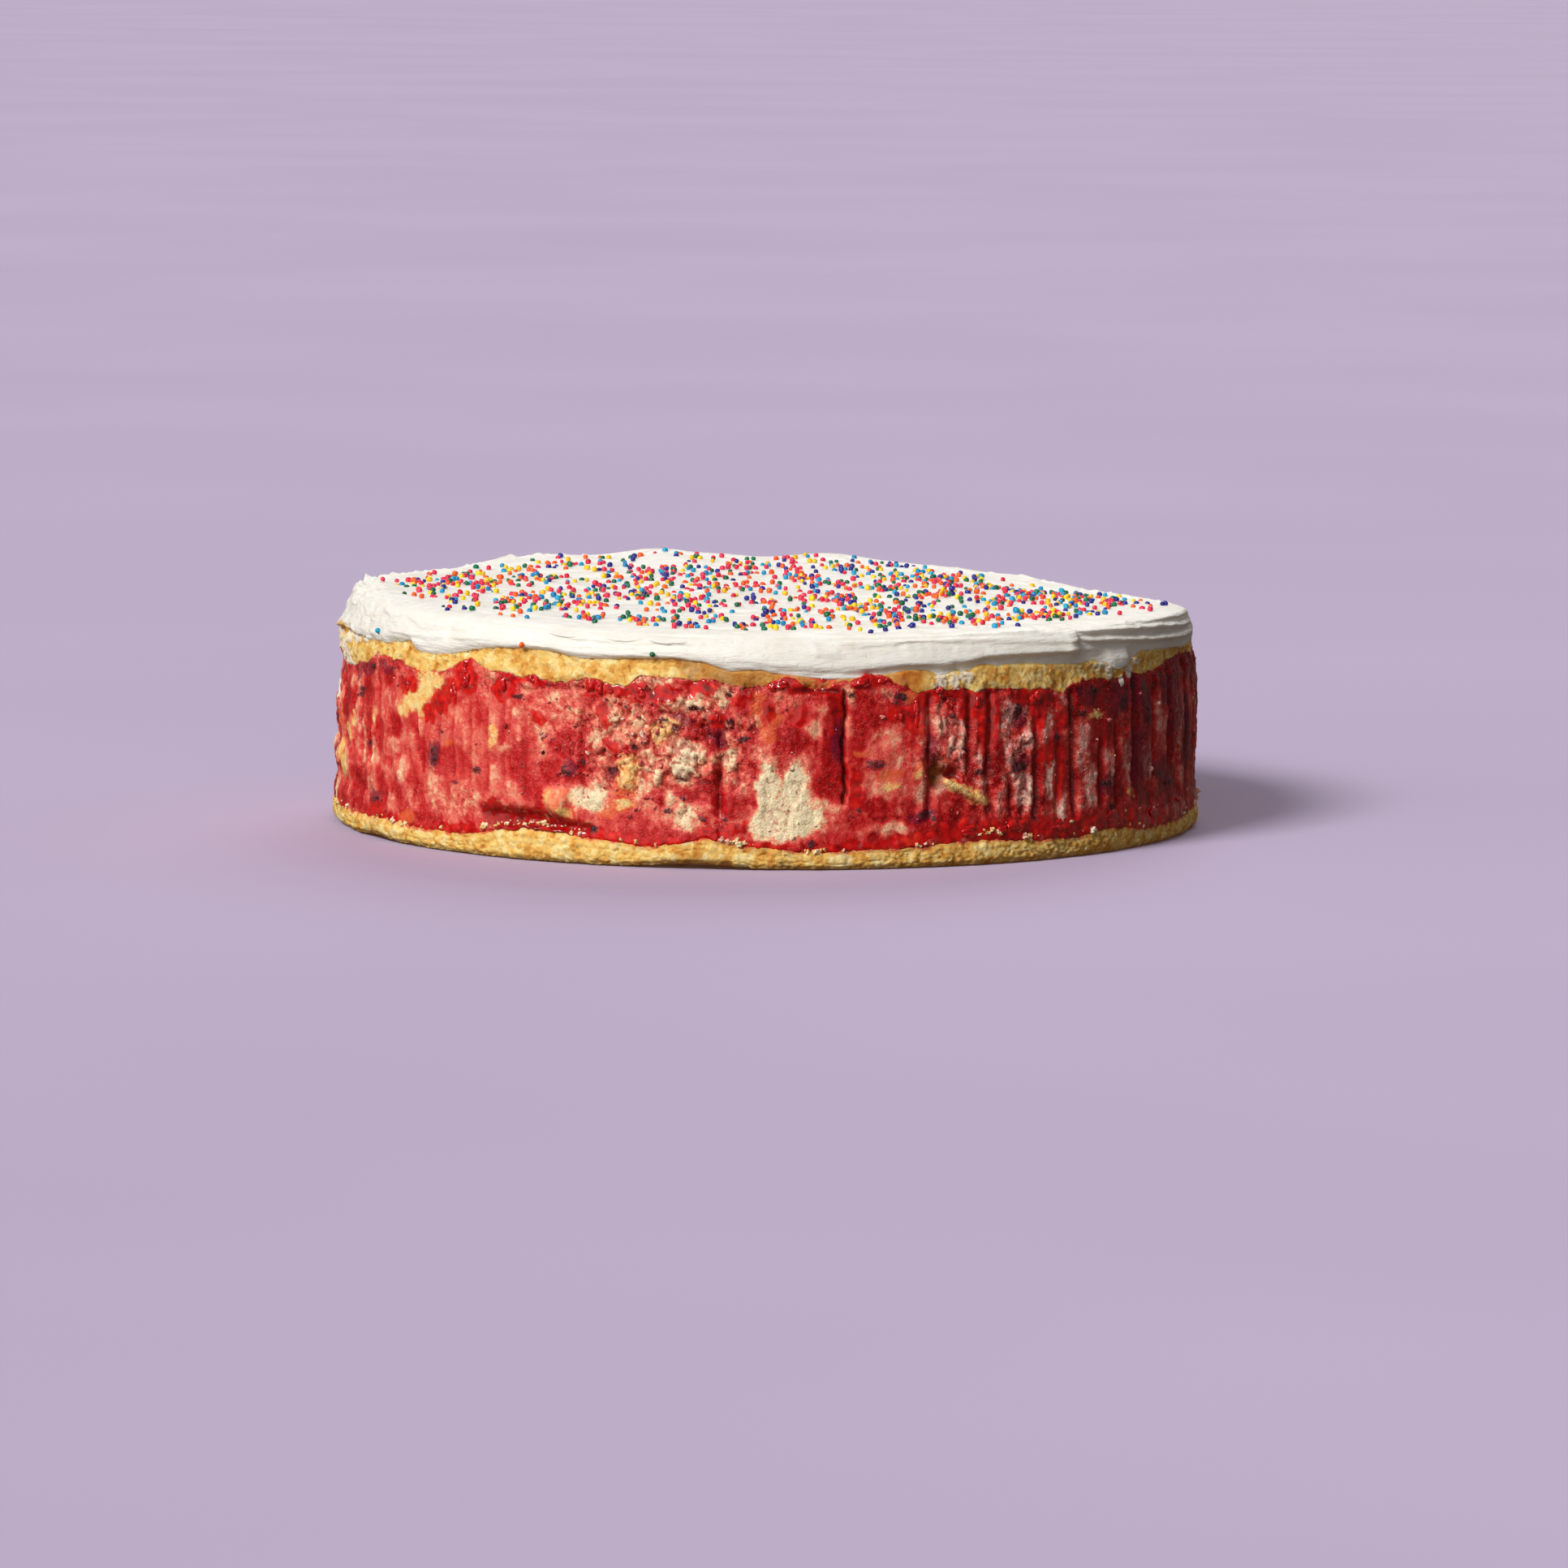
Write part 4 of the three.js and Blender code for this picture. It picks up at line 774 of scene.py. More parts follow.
def make_bottom():
    rows = 22
    low = foot_lift(wall_t) + 0.12 + 0.14 * fbm(wall_points(wall_t, 0 * wall_t), 2.0, 61, 2) + 0.14
    high = base_line + 0.0
    t, z, p, torn, small, pore, slow = sponge_side(low, high, rows, 62, 0)
    smoothed = np.clip(0.85 * hump(t, -9, 5) * (z < 4.6) + 0.5 * hump(t, -62, 4) + 0.4 * hump(t, 3, 5) * (z < 3), 0, 1)
    torn = torn * (1 - 0.8 * smoothed)
    d = slow + torn * small - 0.6 * pore * torn + 0.15
    Z = z.reshape(rows, -1)
    d += 0.5 * hump(t, -64, 9) + 0.3 * hump(t, 34, 9)
    d -= (1.0 * np.exp(-(((Z - low[None, :]) / 0.8) ** 2))).ravel()
    r = wall(t, z) + d
    # it runs on from the filling at the seam
    near_seam = 0.85 * np.exp(-(((high[None, :] - Z) / 1.0) ** 2))
    r = (r.reshape(rows, -1) * (1 - near_seam) + (SEAM_BELOW - 0.1)[None, :] * near_seam).ravel()
    stain = np.exp(-(((high[None, :] - Z) / 0.9) ** 2)).ravel() * np.clip(0.75 + 0.7 * fbm(p, 5, 70, 2), 0, 1)
    stain = np.maximum(stain, 0.9 * np.exp(-((apart(t, -54) / 2.0) ** 2 + ((z - 6.0) / 1.6) ** 2)))
    brown = np.clip(0.5 * np.exp(-(((Z - low[None, :]) / 0.9) ** 2)).ravel() + 0.8 * smoothed + 0.4 * fbm(p, 8, 71, 2), 0, 1)
    # Besides the stain and brown crust, this carries painted shade for the pores and the gaps between crumbs, weaker
    # where the foot is smooth.
    at = {"stain": stain, "brown": brown, "painted_shading": np.clip(0.9 * pore - 0.7 * small, -0.5, 1.2) * (1 - 0.6 * smoothed), "wet": 0.35 * stain, "icy": 0 * t}
    rings, keep = [], {k: [] for k in at}

    def add(tt, r_, z_, like=None):
        rings.append(spot(tt, r_, z_))
        for k in keep:
            keep[k].append(like[k] if like is not None else np.zeros(len(tt)))

    inner = [(1, 0), (20, 20), (40, 42), (80, 66), (160, 88), (320, 100), (640, 107), (1280, 110.5)]
    for n, rr in inner:
        tt = halved(wall_t, n) if n > 1 else np.zeros(1)
        add(tt, np.full(len(tt), float(rr)), np.full(len(tt), 5.9))
    R = r.reshape(rows, -1)
    row = lambda k: {q: v.reshape(rows, -1)[k] for q, v in at.items()}
    add(wall_t, R[0] - 1.4, Z[0] + 0.02, row(0))
    for k in range(rows):
        add(wall_t, R[k], Z[k], row(k))
    add(wall_t, R[-1] - 1.0, np.maximum(Z[-1] - 0.12, 0.0), row(rows - 1))
    for (n, rr), lift in zip(inner[::-1], (0.6, 0.2, 0, 0, 0, 0, 0, 0)):
        tt = halved(wall_t, n) if n > 1 else np.zeros(1)
        add(tt, np.full(len(tt), float(rr)), lift * foot_lift(tt) if n > 1 else np.zeros(1))
    return ring_mesh("cake_bottom_sponge", rings, {k: np.concatenate(v) for k, v in keep.items()}, share=0.93)


def make_top():
    rows = 20
    low, high = fill_line - 0.05, np.maximum(icing_line + 1.3, fill_line + 1.8)
    t, z, p, torn, small, pore, slow = sponge_side(low, high, rows, 82, 0)
    Z = z.reshape(rows, -1)
    crust = np.clip(0.95 * hump(t, -5.5, 7.5) + 0.9 * hump(t, 5.5, 3.5) + 0.5 * hump(t, 72, 6) + 0.4 * hump(t, 165, 10) + 0.5 * hump(t, -110, 8)
                    + (0.55 - 0.35 * smooth(20, 24, t) * (t < 90)) * np.exp(-(((icing_line[None, :] - Z) / 0.9) ** 2)).ravel() + 0.25 * fbm(p, 7, 90, 2), 0, 1)
    torn = torn * (1 - 0.45 * hump(t, 36, 10)) * (1 - 0.85 * np.clip(hump(t, -5.5, 7) + hump(t, 6, 3.5) + hump(t, 18.5, 3) + 0.5 * hump(t, -56, 4), 0, 1))
    d = slow * 0.8 + torn * small - 0.55 * pore * torn - 0.1 - 0.35 * hump(t, 6, 3.5) + 0.2 * hump(t, 34, 6)
    messy = hump(t, -80, 11) + 0.5 * hump(t, -128, 9)
    d += messy * (1.1 * fbm(p, 3.2, 92, 3) + 0.5 * fbm(p, 1.3, 93, 2) - 0.25)
    r = wall(t, z) + d
    near_seam = 0.9 * np.exp(-(((Z - low[None, :]) / 1.1) ** 2))
    r = (r.reshape(rows, -1) * (1 - near_seam) + SEAM_ABOVE[None, :] * near_seam).ravel()
    lumps = place_mask("icy", t, z, 0.9 * fbm(p, 2.4, 95, 2), 0.9 * fbm(p, 2.2, 96, 2), 0.3)
    r = r + 0.32 * lumps * (1 + 0.5 * fbm(p, 1.1, 97, 2))
    above = np.clip((Z - icing_line[None, :]) / 1.0, 0, 1).ravel()
    r = r - 1.2 * above
    stain = np.exp(-(((Z - low[None, :]) / 0.9) ** 2)).ravel() * np.clip(0.5 + 1.1 * fbm(p, 4, 91, 2), 0, 1)
    stain = np.maximum(stain, 0.75 * (np.exp(-((apart(t, 2.6) / 2.6) ** 2)) + np.exp(-((apart(t, 12.2) / 3.2) ** 2))) * np.clip(0.6 + 0.9 * fbm(p, 3, 98, 2), 0, 1) * (z < 50.6))
    stain = np.maximum(stain, 1.15 * hump(t, 7.2, 3.7) * np.clip(0.7 + 0.6 * fbm(p, 3, 99, 2), 0, 1))
    stain = np.maximum(stain, 0.8 * np.exp(-((apart(t, -83.0) / 3.0) ** 2 + ((z - 50.6) / 1.6) ** 2)))
    syrup = np.exp(-((apart(t, 18.3) / 2.3) ** 2) ** 2) * (z < 50.5)
    brown = np.maximum(crust, 0.8 * np.exp(-((apart(t, 40.3) / 0.7) ** 2)) * smooth(50, 47, z))
    # Besides the stain, crust, icing and syrup, this carries painted shade for the pores and the gaps between crumbs.
    at = {"stain": np.maximum(stain, 0.25 * syrup), "brown": np.clip(brown, 0, 1), "painted_shading": np.clip(0.7 * pore - 0.8 * small, -0.4, 1.1) * np.clip(torn * 1.4, 0, 1),
          "icy": np.clip(lumps + (0.30 + 0.3 * fbm(p, 5, 94, 2)) * smooth(-66, -74, t) * smooth(-108, -94, t) + 0.35 * hump(t, -128, 8), 0, 1), "wet": np.clip(syrup + 0.7 * hump(t, 7, 6.5), 0, 1)}
    rings, keep = [], {k: [] for k in at}

    def add(tt, r_, z_, like=None):
        rings.append(spot(tt, r_, z_))
        for k in keep:
            keep[k].append(like[k] if like is not None else np.zeros(len(tt)))

    inner = [(1, 0), (20, 20), (40, 42), (80, 66), (160, 88), (320, 100), (640, 107), (1280, 109.5)]
    for n, rr in inner:
        tt = halved(wall_t, n) if n > 1 else np.zeros(1)
        add(tt, np.full(len(tt), float(rr)), np.full(len(tt), 52.9))
    R = r.reshape(rows, -1)
    row = lambda k: {q: v.reshape(rows, -1)[k] for q, v in at.items()}
    for k in range(rows):
        add(wall_t, R[k], Z[k], row(k))
    add(wall_t, R[-1] - 1.6, Z[-1] + 0.05, row(rows - 1))
    for n, rr in inner[::-1]:
        tt = halved(wall_t, n) if n > 1 else np.zeros(1)
        add(tt, np.full(len(tt), float(rr)), np.full(len(tt), 46.3))
    return ring_mesh("cake_top_sponge", rings, {k: np.concatenate(v) for k, v in keep.items()}, share=0.93)


# ------------------------------------------------------------------ the icing

N_ICE = 896
ice_t = bearings(N_ICE, 0.14)

# The section of the icing's side at some bearings: radius, and height as a share of the way from the
# lower edge to the crest. It runs from the crest down to the lip.
SIDE = [
    (-120, [(111.4, 1), (112.5, .90), (113.2, .74), (113.9, .55), (114.1, .36), (113.8, .22), (113.6, .07)]),
    (-98, [(110.6, 1), (111.2, .88), (111.9, .74), (112.6, .56), (113.4, .38), (114.1, .2), (114.6, .06)]),
    (-86, [(110.6, 1), (111.0, .87), (111.5, .73), (112.2, .56), (113.2, .38), (114.3, .2), (115.1, .06)]),
    (-74, [(110.9, 1), (111.4, .88), (112.0, .72), (112.8, .54), (113.7, .36), (114.5, .2), (114.7, .06)]),
    (-64, [(111.0, 1), (111.8, .88), (112.5, .72), (113.3, .54), (114.0, .36), (114.4, .2), (114.0, .06)]),
    (-55, [(111.2, 1), (112.2, .88), (113.0, .72), (113.7, .54), (114.2, .36), (114.4, .2), (114.0, .06)]),
    (-46, [(111.4, 1), (112.5, .90), (113.2, .76), (113.8, .58), (114.3, .38), (114.5, .2), (114.0, .06)]),
    (-36, [(110.9, 1), (112.2, .93), (113.1, .80), (113.8, .60), (114.3, .40), (114.5, .2), (114.0, .05)]),
    (-24, [(110.9, 1), (112.0, .94), (112.6, .84), (113.2, .70), (114.0, .45), (114.5, .2), (113.8, .05)]),
    (-12, [(110.9, 1), (111.9, .96), (112.5, .88), (113.2, .74), (114.2, .45), (114.5, .18), (113.7, .05)]),
    (-3, [(110.9, 1), (111.8, .96), (112.5, .88), (113.6, .70), (114.6, .40), (114.2, .13), (113.3, .03)]),
    (6, [(110.9, 1), (111.7, .96), (112.3, .89), (113.6, .70), (114.8, .33), (114.2, .12), (113.9, .03)]),
    (13, [(110.9, 1), (111.6, .95), (112.0, .88), (113.5, .68), (114.9, .30), (114.0, .13), (113.8, .03)]),
    (20, [(110.9, 1), (111.5, .95), (111.9, .88), (113.5, .67), (114.9, .30), (113.8, .15), (113.5, .03)]),
    (28, [(110.9, 1), (111.5, .95), (112.0, .85), (113.5, .66), (114.9, .37), (113.6, .21), (113.5, .03)]),
    (36, [(110.9, 1), (111.6, .93), (112.2, .80), (113.5, .63), (114.8, .43), (113.5, .28), (113.4, .03)]),
    (43, [(111.0, 1), (111.9, .90), (112.7, .74), (113.8, .60), (114.7, .44), (113.4, .32), (113.4, .03)]),
    (45.6, [(111.0, 1), (111.8, .88), (112.2, .74), (112.6, .60), (112.9, .44), (112.8, .26), (113.1, .04)]),
    (60, [(111.0, 1), (111.8, .86), (112.2, .72), (112.6, .58), (112.9, .42), (113.0, .24), (113.2, .05)]),
    (76, [(111.2, 1), (111.9, .86), (112.3, .72), (112.8, .58), (113.2, .42), (113.3, .24), (113.5, .05)]),
    (90, [(111.8, 1), (112.3, .90), (112.8, .74), (113.3, .56), (113.7, .40), (113.7, .22), (113.8, .05)]),
    (112, [(111.8, 1), (113.1, .88), (112.7, .72), (113.6, .60), (114.2, .42), (114.0, .22), (113.6, .05)]),
    (138, [(111.6, 1), (112.5, .90), (113.2, .76), (113.8, .58), (114.0, .38), (113.7, .22), (113.4, .05)]),
    (160, [(112.3, 1), (112.2, .93), (113.2, .86), (114.1, .66), (114.2, .42), (113.4, .26), (113.3, .05)]),
    (-176, [(111.8, 1), (112.9, .90), (113.0, .78), (113.6, .66), (114.3, .42), (114.0, .2), (113.6, .05)]),
    (-150, [(112.2, 1), (112.2, .90), (112.0, .68), (113.5, .58), (113.7, .48), (113.0, .30), (113.3, .05)]),
]

# Tongues of icing that lap over the band below: bearing, half width, height share of the lowest point, how proud, how deep a bow.
LAPS = [(-31.5, 2.6, .80, 0.35, .10), (-27.2, 2.7, .745, 0.75, .12), (-23.0, 2.2, .77, 0.5, .10), (-18.6, 2.9, .735, 0.85, .10), (-13.0, 2.7, .71, 1.0, .13), (-14.6, 1.2, .80, 0.5, .07),
        (-8.2, 2.4, .83, 0.3, .08), (-38.0, 3.4, .84, 0.3, .08), (7.6, 1.7, .60, 0.45, .06), (11.2, 1.4, .90, 0.4, .05), (15.4, 1.2, .92, 0.4, .04),
        (-52.0, 3.5, .62, 0.35, .14), (-60.0, 3.0, .70, 0.45, .16), (-68.0, 3.6, .58, 0.5, .18), (-77.0, 3.8, .66, 0.6, .2), (-88.0, 4.0, .5, 0.6, .2),
        (104, 3.4, .74, 0.7, .12), (111, 2.8, .70, 0.85, .12), (118, 3.0, .76, 0.6, .10), (147, 3.6, .66, 0.5, .14), (170, 3.0, .74, 0.7, .12), (-178, 2.6, .72, 0.8, .12), (-170, 3.2, .78, 0.5, .1),
        (-142, 3.8, .64, 0.5, .16), (-126, 3.0, .55, 0.6, .16), (-106, 3.6, .62, 0.5, .2)]


# Long ledges in the icing's side: bearing and height of the lip, how far it stands out, how high it fades.
LEDGES = [
    ([(8, 57.6), (10, 57.3), (12.4, 57.1), (16.7, 57.4), (19, 58.0), (21.3, 57.9), (28.4, 57.3), (36, 56.6), (43, 55.9), (46, 55.8)], 0.65, 1.7, 1.0, 2),
    ([(45.2, 58.0), (48.2, 57.7), (54.6, 57.3), (63.7, 56.5), (76.8, 54.9), (84, 54.2), (90, 54.0)], 0.9, 1.3, 0.35, 14),
    ([(45.6, 55.8), (47.7, 55.3), (53.8, 54.7), (62.6, 53.5), (72, 52.4), (81, 51.9), (90, 52.2)], 1.05, 1.5, 0.35, 16),
    ([(62, 58.1), (70.7, 57.8), (80, 57.0), (92, 55.9)], 0.4, 1.0, 0.35, 14),
    ([(-27, 57.6), (-26.4, 57.6), (-23.4, 57.9), (-21.6, 57.5), (-19.6, 57.8), (-17.0, 57.4), (-14.8, 57.7), (-13.6, 58.1), (-12, 57.8), (-9.3, 57.9), (-5, 58.2)], 0.5, 1.4, 1.05, 4),
    ([(-160, 56.6), (-150, 57.0), (-140, 56.6), (-130, 56.0)], 0.8, 1.5, 0.4, 5),
    ([(-176, 57.8), (-166, 57.2), (-158, 57.8)], 0.6, 1.2, 0.5, 5), ([(100, 53.6), (112, 53.9), (126, 53.4), (140, 54.6)], 0.7, 1.2, 0.5, 6),
    ([(-60, 55.2), (-52, 55.0), (-44, 55.6), (-37, 56.4)], 0.35, 1.3, 0.6, 6),
]


def ledge(t, z, wobble):
    """How far the long ledges stand out at each bearing and height."""
    out = 0 * z
    for points, proud, fade, soft, tail in LEDGES:
        at, lip = [q[0] for q in points], [q[1] for q in points]
        low = np.interp(t, at, lip) + wobble
        on = smooth(at[0] - 0.3, at[0] + 2.0, t) * (1 - smooth(at[-1] - tail, at[-1] + 0.3, t))
        face = smooth(low - soft, low + 0.15, z) * (1 - smooth(low + 0.3, low + fade, z))
        out = np.maximum(out, proud * on * face)
    return out


def catmull(points, u):
    """Points on smooth curves through control points. points: (controls, n, 2); u: (rows,)."""
    m = len(points)
    i = np.clip(np.floor(u).astype(int), 0, m - 2)
    f = (u - i)[:, None, None]
    p0, p1, p2, p3 = (points[np.clip(i + k, 0, m - 1)] for k in (-1, 0, 1, 2))
    return 0.5 * (2 * p1 + (p2 - p0) * f + (2 * p0 - 5 * p1 + 4 * p2 - p3) * f ** 2 + (3 * p1 - p0 - 3 * p2 + p3) * f ** 3)


def shoulder(t):
    return 0.12 + 0.5 * (1 + np.cos(np.radians(t)))


R_TOP = 105.5


def top_level(x, y):
    """The height of the icing's upper face."""
    r = np.hypot(x, y)
    t = np.degrees(np.arctan2(x, -y))
    edge = rim_height(t) + shoulder(t)
    w = smooth(46, 104, r)
    q = np.stack([x, y, 0 * x], -1)
    base = mix(60.3 + 0 * x, edge, w)
    fall = np.clip((r - 104.0) / 9.0, 0, 1.2)
    base = base - shoulder(t) * fall ** 2
    # long shallow strokes, some straight across and some round the edge
    along = np.stack([x / 26 + 0.4 * fbm(q, 40, 201, 2), y / 6.5, 0 * x], -1)
    around = np.stack([np.radians(t) * 3.2, (r + 1.5 * fbm(q, 22, 202, 2)) / 4.2, 0 * x + 3], -1)
    strokes = mix(perlin(along, 203), perlin(around, 204), smooth(80, 92, r)) * 0.42
    fine = np.stack([x / 14, y / 2.2, 0 * x], -1)
    fine_r = np.stack([np.radians(t) * 6, r / 1.5, 0 * x], -1)
    strokes += mix(perlin(fine, 205), perlin(fine_r, 206), smooth(80, 92, r)) * 0.13
    waves = 0.55 * fbm(q, 30, 207, 2) + 0.16 * fbm(q, 7, 208, 2)
    calm = 1 - 0.55 * smooth(100, 110, r)
    # the edge is pulled up in little peaks in places
    peaks = 1.9 * hump(t, -92, 26) + 0.9 * hump(t, 117, 18) + 0.7 * hump(t, -140, 18) + 0.18 * smooth(0.15, -0.6, np.cos(np.radians(t))) + 0.12
    n = fbm(q, 3.3, 209, 3, 0.6)
    peaks = peaks * smooth(101, 108.5, r) * (0.9 * n + 0.9 * np.clip(n - 0.25, 0, 1))
    margin = smooth(92, 100, r) * (0.22 * fbm(q, 5.0, 210, 2) + 0.12 * fbm(q, 1.8, 211, 2))
    return base + (waves + strokes) * calm + peaks + margin


def make_icing():
    rings = []
    top = [(1, [0.0]), (7, [3.0]), (14, [6.0]), (28, [9.5, 13.0]), (112, [16.5, 19.0, 21.5, 24.0, 26.5]),
           (224, list(np.linspace(28.6, 43, 10))), (448, list(np.linspace(44.3, 66, 18))), (896, list(np.linspace(67.2, 110.2, 40)))]
    top[4:4] = [(56, [14.8])]
    for n, radii in top:
        tt = ice_t[:: N_ICE // n] if n > 1 else np.zeros(1)
        for r in radii:
            a = np.radians(tt)
            x, y = r * np.sin(a), -r * np.cos(a)
            rings.append(np.stack([x, y, top_level(x, y)], -1))
    lid = len(rings) - 1
    # the side
    t = ice_t
    rim, edge = rim_height(t), icing_edge(t)
    around = wall_points(t, 0 * t)
    k = pieced(t, [(at, np.array(v).ravel()) for at, v in SIDE]).reshape(len(t), 7, 2)
    torn_line = 0.02 * fbm(around, 4.0, 211, 3) + 0.02 * fbm(around, 1.5, 212, 2)
    R, H = k[:, :, 0].copy(), k[:, :, 1].copy()
    for j in (1, 2, 3):
        H[:, j] += torn_line * 0.7
    R += 0.35 * fbm(around, 26, 214, 2)[:, None]
    # only the lower part of the side follows the edge's short drips
    calm = np.interp(t, t, np.maximum(edge, 49.4))
    span = np.exp(-((apart(t[:, None], t[None, :]) / 3.0) ** 2))
    calm = (span * calm[None, :]).sum(1) / span.sum(1)
    follow = np.array([0, 0, 0, 0, 0.25, 0.75, 1.0])[None, :]
    Zc = (calm[:, None] + H * (rim - calm)[:, None]) * (1 - follow) + (edge[:, None] + H * (rim - edge)[:, None]) * follow
    x, y = 110.2 * np.sin(np.radians(t)), -110.2 * np.cos(np.radians(t))
    first = np.stack([np.full(len(t), 110.2), top_level(x, y)], -1)
    R[:, 0] = np.maximum(R[:, 0], 110.8)
    drip = smooth(49.2, 48.0, edge)
    near_by = np.exp(-((apart(t[:, None], t[None, :]) / 0.8) ** 2))
    drip = (near_by * drip[None, :]).sum(1) / near_by.sum(1)
    for j, out_at in ((5, 114.5), (6, 114.8)):
        R[:, j] = R[:, j] + np.maximum(out_at - R[:, j], 0) * drip
    lead = R[:, 0] < 111.2
    first[:, 0] = 110.2
    ctrl = [first]
    for j in range(7):
        ctrl.append(np.stack([R[:, j], Zc[:, j]], -1))
    lip = R[:, 6]
    ctrl.append(np.stack([lip - 0.55, edge + 0.0], -1))
    ctrl.append(np.stack([lip - 1.7, edge + 0.25], -1))
    ctrl.append(np.stack([np.full(len(t), 111.0), edge + 1.0], -1))
    ctrl = np.stack(ctrl)
    rows = 53
    u = np.linspace(0, len(ctrl) - 1, rows)[1:]
    line = catmull(ctrl, u)
    for j in range(len(u)):
        rr, zz = line[j, :, 0], line[j, :, 1]
        p = spot(t, 112.0, zz)
        share = np.clip((zz - edge) / np.maximum(rim - edge, 1), 0, 1)
        on = smooth(0.6, 1.6, u[j]) * (1 - smooth(7.6, 9.0, u[j]))
        streak = 0.19 * fbm(p * np.array([1, 1, 7.5]), 11, 221, 2) + 0.12 * fbm(p * np.array([1, 1, 9.0]), 5.5, 222, 2)
        rough = hump(t, -78, 16) + 0.35 * hump(t, -132, 12) + 0.3 * hump(t, 148, 9) + 0.18 * hump(t, -40, 20)
        streak = streak * (1 - 0.5 * np.clip(rough, 0, 1)) + rough * (0.75 * fbm(p, 3.4, 223, 3) + 0.3 * fbm(p, 1.2, 224, 2))
        dent = -0.9 * np.where(t > -46.8, hump(t, -46.8, 1.4), hump(t, -46.8, 0.3)) * smooth(0.3, 0.55, share) * (1 - 0.6 * smooth(0.9, 1, share))
        flare = 1.0 * np.where(t < 45.0, hump(t, 44.0, 1.6), hump(t, 45.0, 0.35)) * smooth(0.1, 0.5, share) * (1 - 0.4 * smooth(0.85, 1.0, share))
        notch = -0.8 * hump(t, 13.2, 0.4) * (1 - smooth(0.12, 0.25, share)) - 0.5 * hump(t, 25.2, 0.5) * (1 - smooth(0.2, 0.4, share))
        marks = 0.22 * fbm(p * np.array([1, 1, 2.0]), 4.5, 225, 2) * smooth(0.1, 0.5, fbm(p, 15, 226, 1))
        wobble = 0.8 * fbm(p, 4, 228, 2)
        laps = 0 * t
        for at, half, low_at, proud, bow in LAPS:
            x = (apart(t, at) + wobble) / half
            foot = low_at + bow * x * x + 0.02 * fbm(around, 1.6, 229, 2)
            face = smooth(foot - 0.015, foot + 0.05, share) * (1 - smooth(foot + 0.10, foot + 0.30, share))
            laps = np.maximum(laps, proud * face * (1 - smooth(0.7, 1.25, np.abs(x))))
        rr = rr + on * (streak + dent + flare + notch + marks + np.maximum(laps, ledge(t, zz, 0.22 * fbm(around, 5.0, 230, 3))))
        rings.append(spot(t, rr, zz + on * 0.08 * fbm(p, 2.2, 227, 2)))
    for n, r, z in ((448, 109.0, None), (224, 104.0, 53.1), (112, 90.0, 53.1), (56, 60.0, 53.1), (28, 36.0, 53.1), (14, 20.0, 53.1), (7, 9.0, 53.1), (1, 0.0, 53.1)):
        tt = ice_t[:: N_ICE // n] if n > 1 else np.zeros(1)
        zz = np.minimum(icing_edge(tt) + 1.6, 53.6) if z is None else np.full(len(tt), z)
        rings.append(spot(tt, np.full(len(tt), r), zz))
    co = np.concatenate(rings)
    out = np.hypot(co[:, 0], co[:, 1])
    bearing = np.degrees(np.arctan2(co[:, 0], -co[:, 1]))
    crumby = 1.1 * hump(bearing, -79, 7) * smooth(107, 110, out) * smooth(56.0, 52.5, co[:, 2]) + 0.5 * hump(bearing, -128, 8) * smooth(108, 111, out) * smooth(54, 51.5, co[:, 2])
    return ring_mesh("cake_icing", rings, {"crumby": np.clip(crumby, 0, 1)}, share=0.2, lid=lid)


# ------------------------------------------------------------------ sprinkles, crumbs and jam beads

def icosphere(level):
    """Points and faces of a round ball of radius 1."""
    g = (1 + 5 ** 0.5) / 2
    v = [(-1, g, 0), (1, g, 0), (-1, -g, 0), (1, -g, 0), (0, -1, g), (0, 1, g), (0, -1, -g), (0, 1, -g), (g, 0, -1), (g, 0, 1), (-g, 0, -1), (-g, 0, 1)]
    f = [(0, 11, 5), (0, 5, 1), (0, 1, 7), (0, 7, 10), (0, 10, 11), (1, 5, 9), (5, 11, 4), (11, 10, 2), (10, 7, 6), (7, 1, 8),
         (3, 9, 4), (3, 4, 2), (3, 2, 6), (3, 6, 8), (3, 8, 9), (4, 9, 5), (2, 4, 11), (6, 2, 10), (8, 6, 7), (9, 8, 1)]
    v = [np.array(p, float) / np.linalg.norm(p) for p in v]
    for _ in range(level):
        seen, out = {}, []

        def middle(a, b):
            key = (min(a, b), max(a, b))
            if key not in seen:
                m = v[a] + v[b]
                v.append(m / np.linalg.norm(m))
                seen[key] = len(v) - 1
            return seen[key]

        for a, b, c in f:
            ab, bc, ca = middle(a, b), middle(b, c), middle(c, a)
            out += [(a, ab, ca), (b, bc, ab), (c, ca, bc), (ab, bc, ca)]
        f = out
    return np.array(v), np.array(f)


def turn(r):
    """A random rotation matrix."""
    q = r.normal(size=4)
    w, x, y, z = q / np.linalg.norm(q)
    return np.array([[1 - 2 * (y * y + z * z), 2 * (x * y - z * w), 2 * (x * z + y * w)],
                     [2 * (x * y + z * w), 1 - 2 * (x * x + z * z), 2 * (y * z - x * w)],
                     [2 * (x * z - y * w), 2 * (y * z + x * w), 1 - 2 * (x * x + y * y)]])


def many(name, shapes):
    """One mesh from several (points, faces, attributes) pieces."""
    co, faces, at, start = [], [], {}, 0
    for v, f, a in shapes:
        co.append(v)
        faces.append(f + start)
        start += len(v)
        for k, x in a.items():
            at.setdefault(k, []).append(np.full(len(v), x, float))
    return put_mesh(name, np.concatenate(co), [np.concatenate(faces)], {k: np.concatenate(x) for k, x in at.items()})


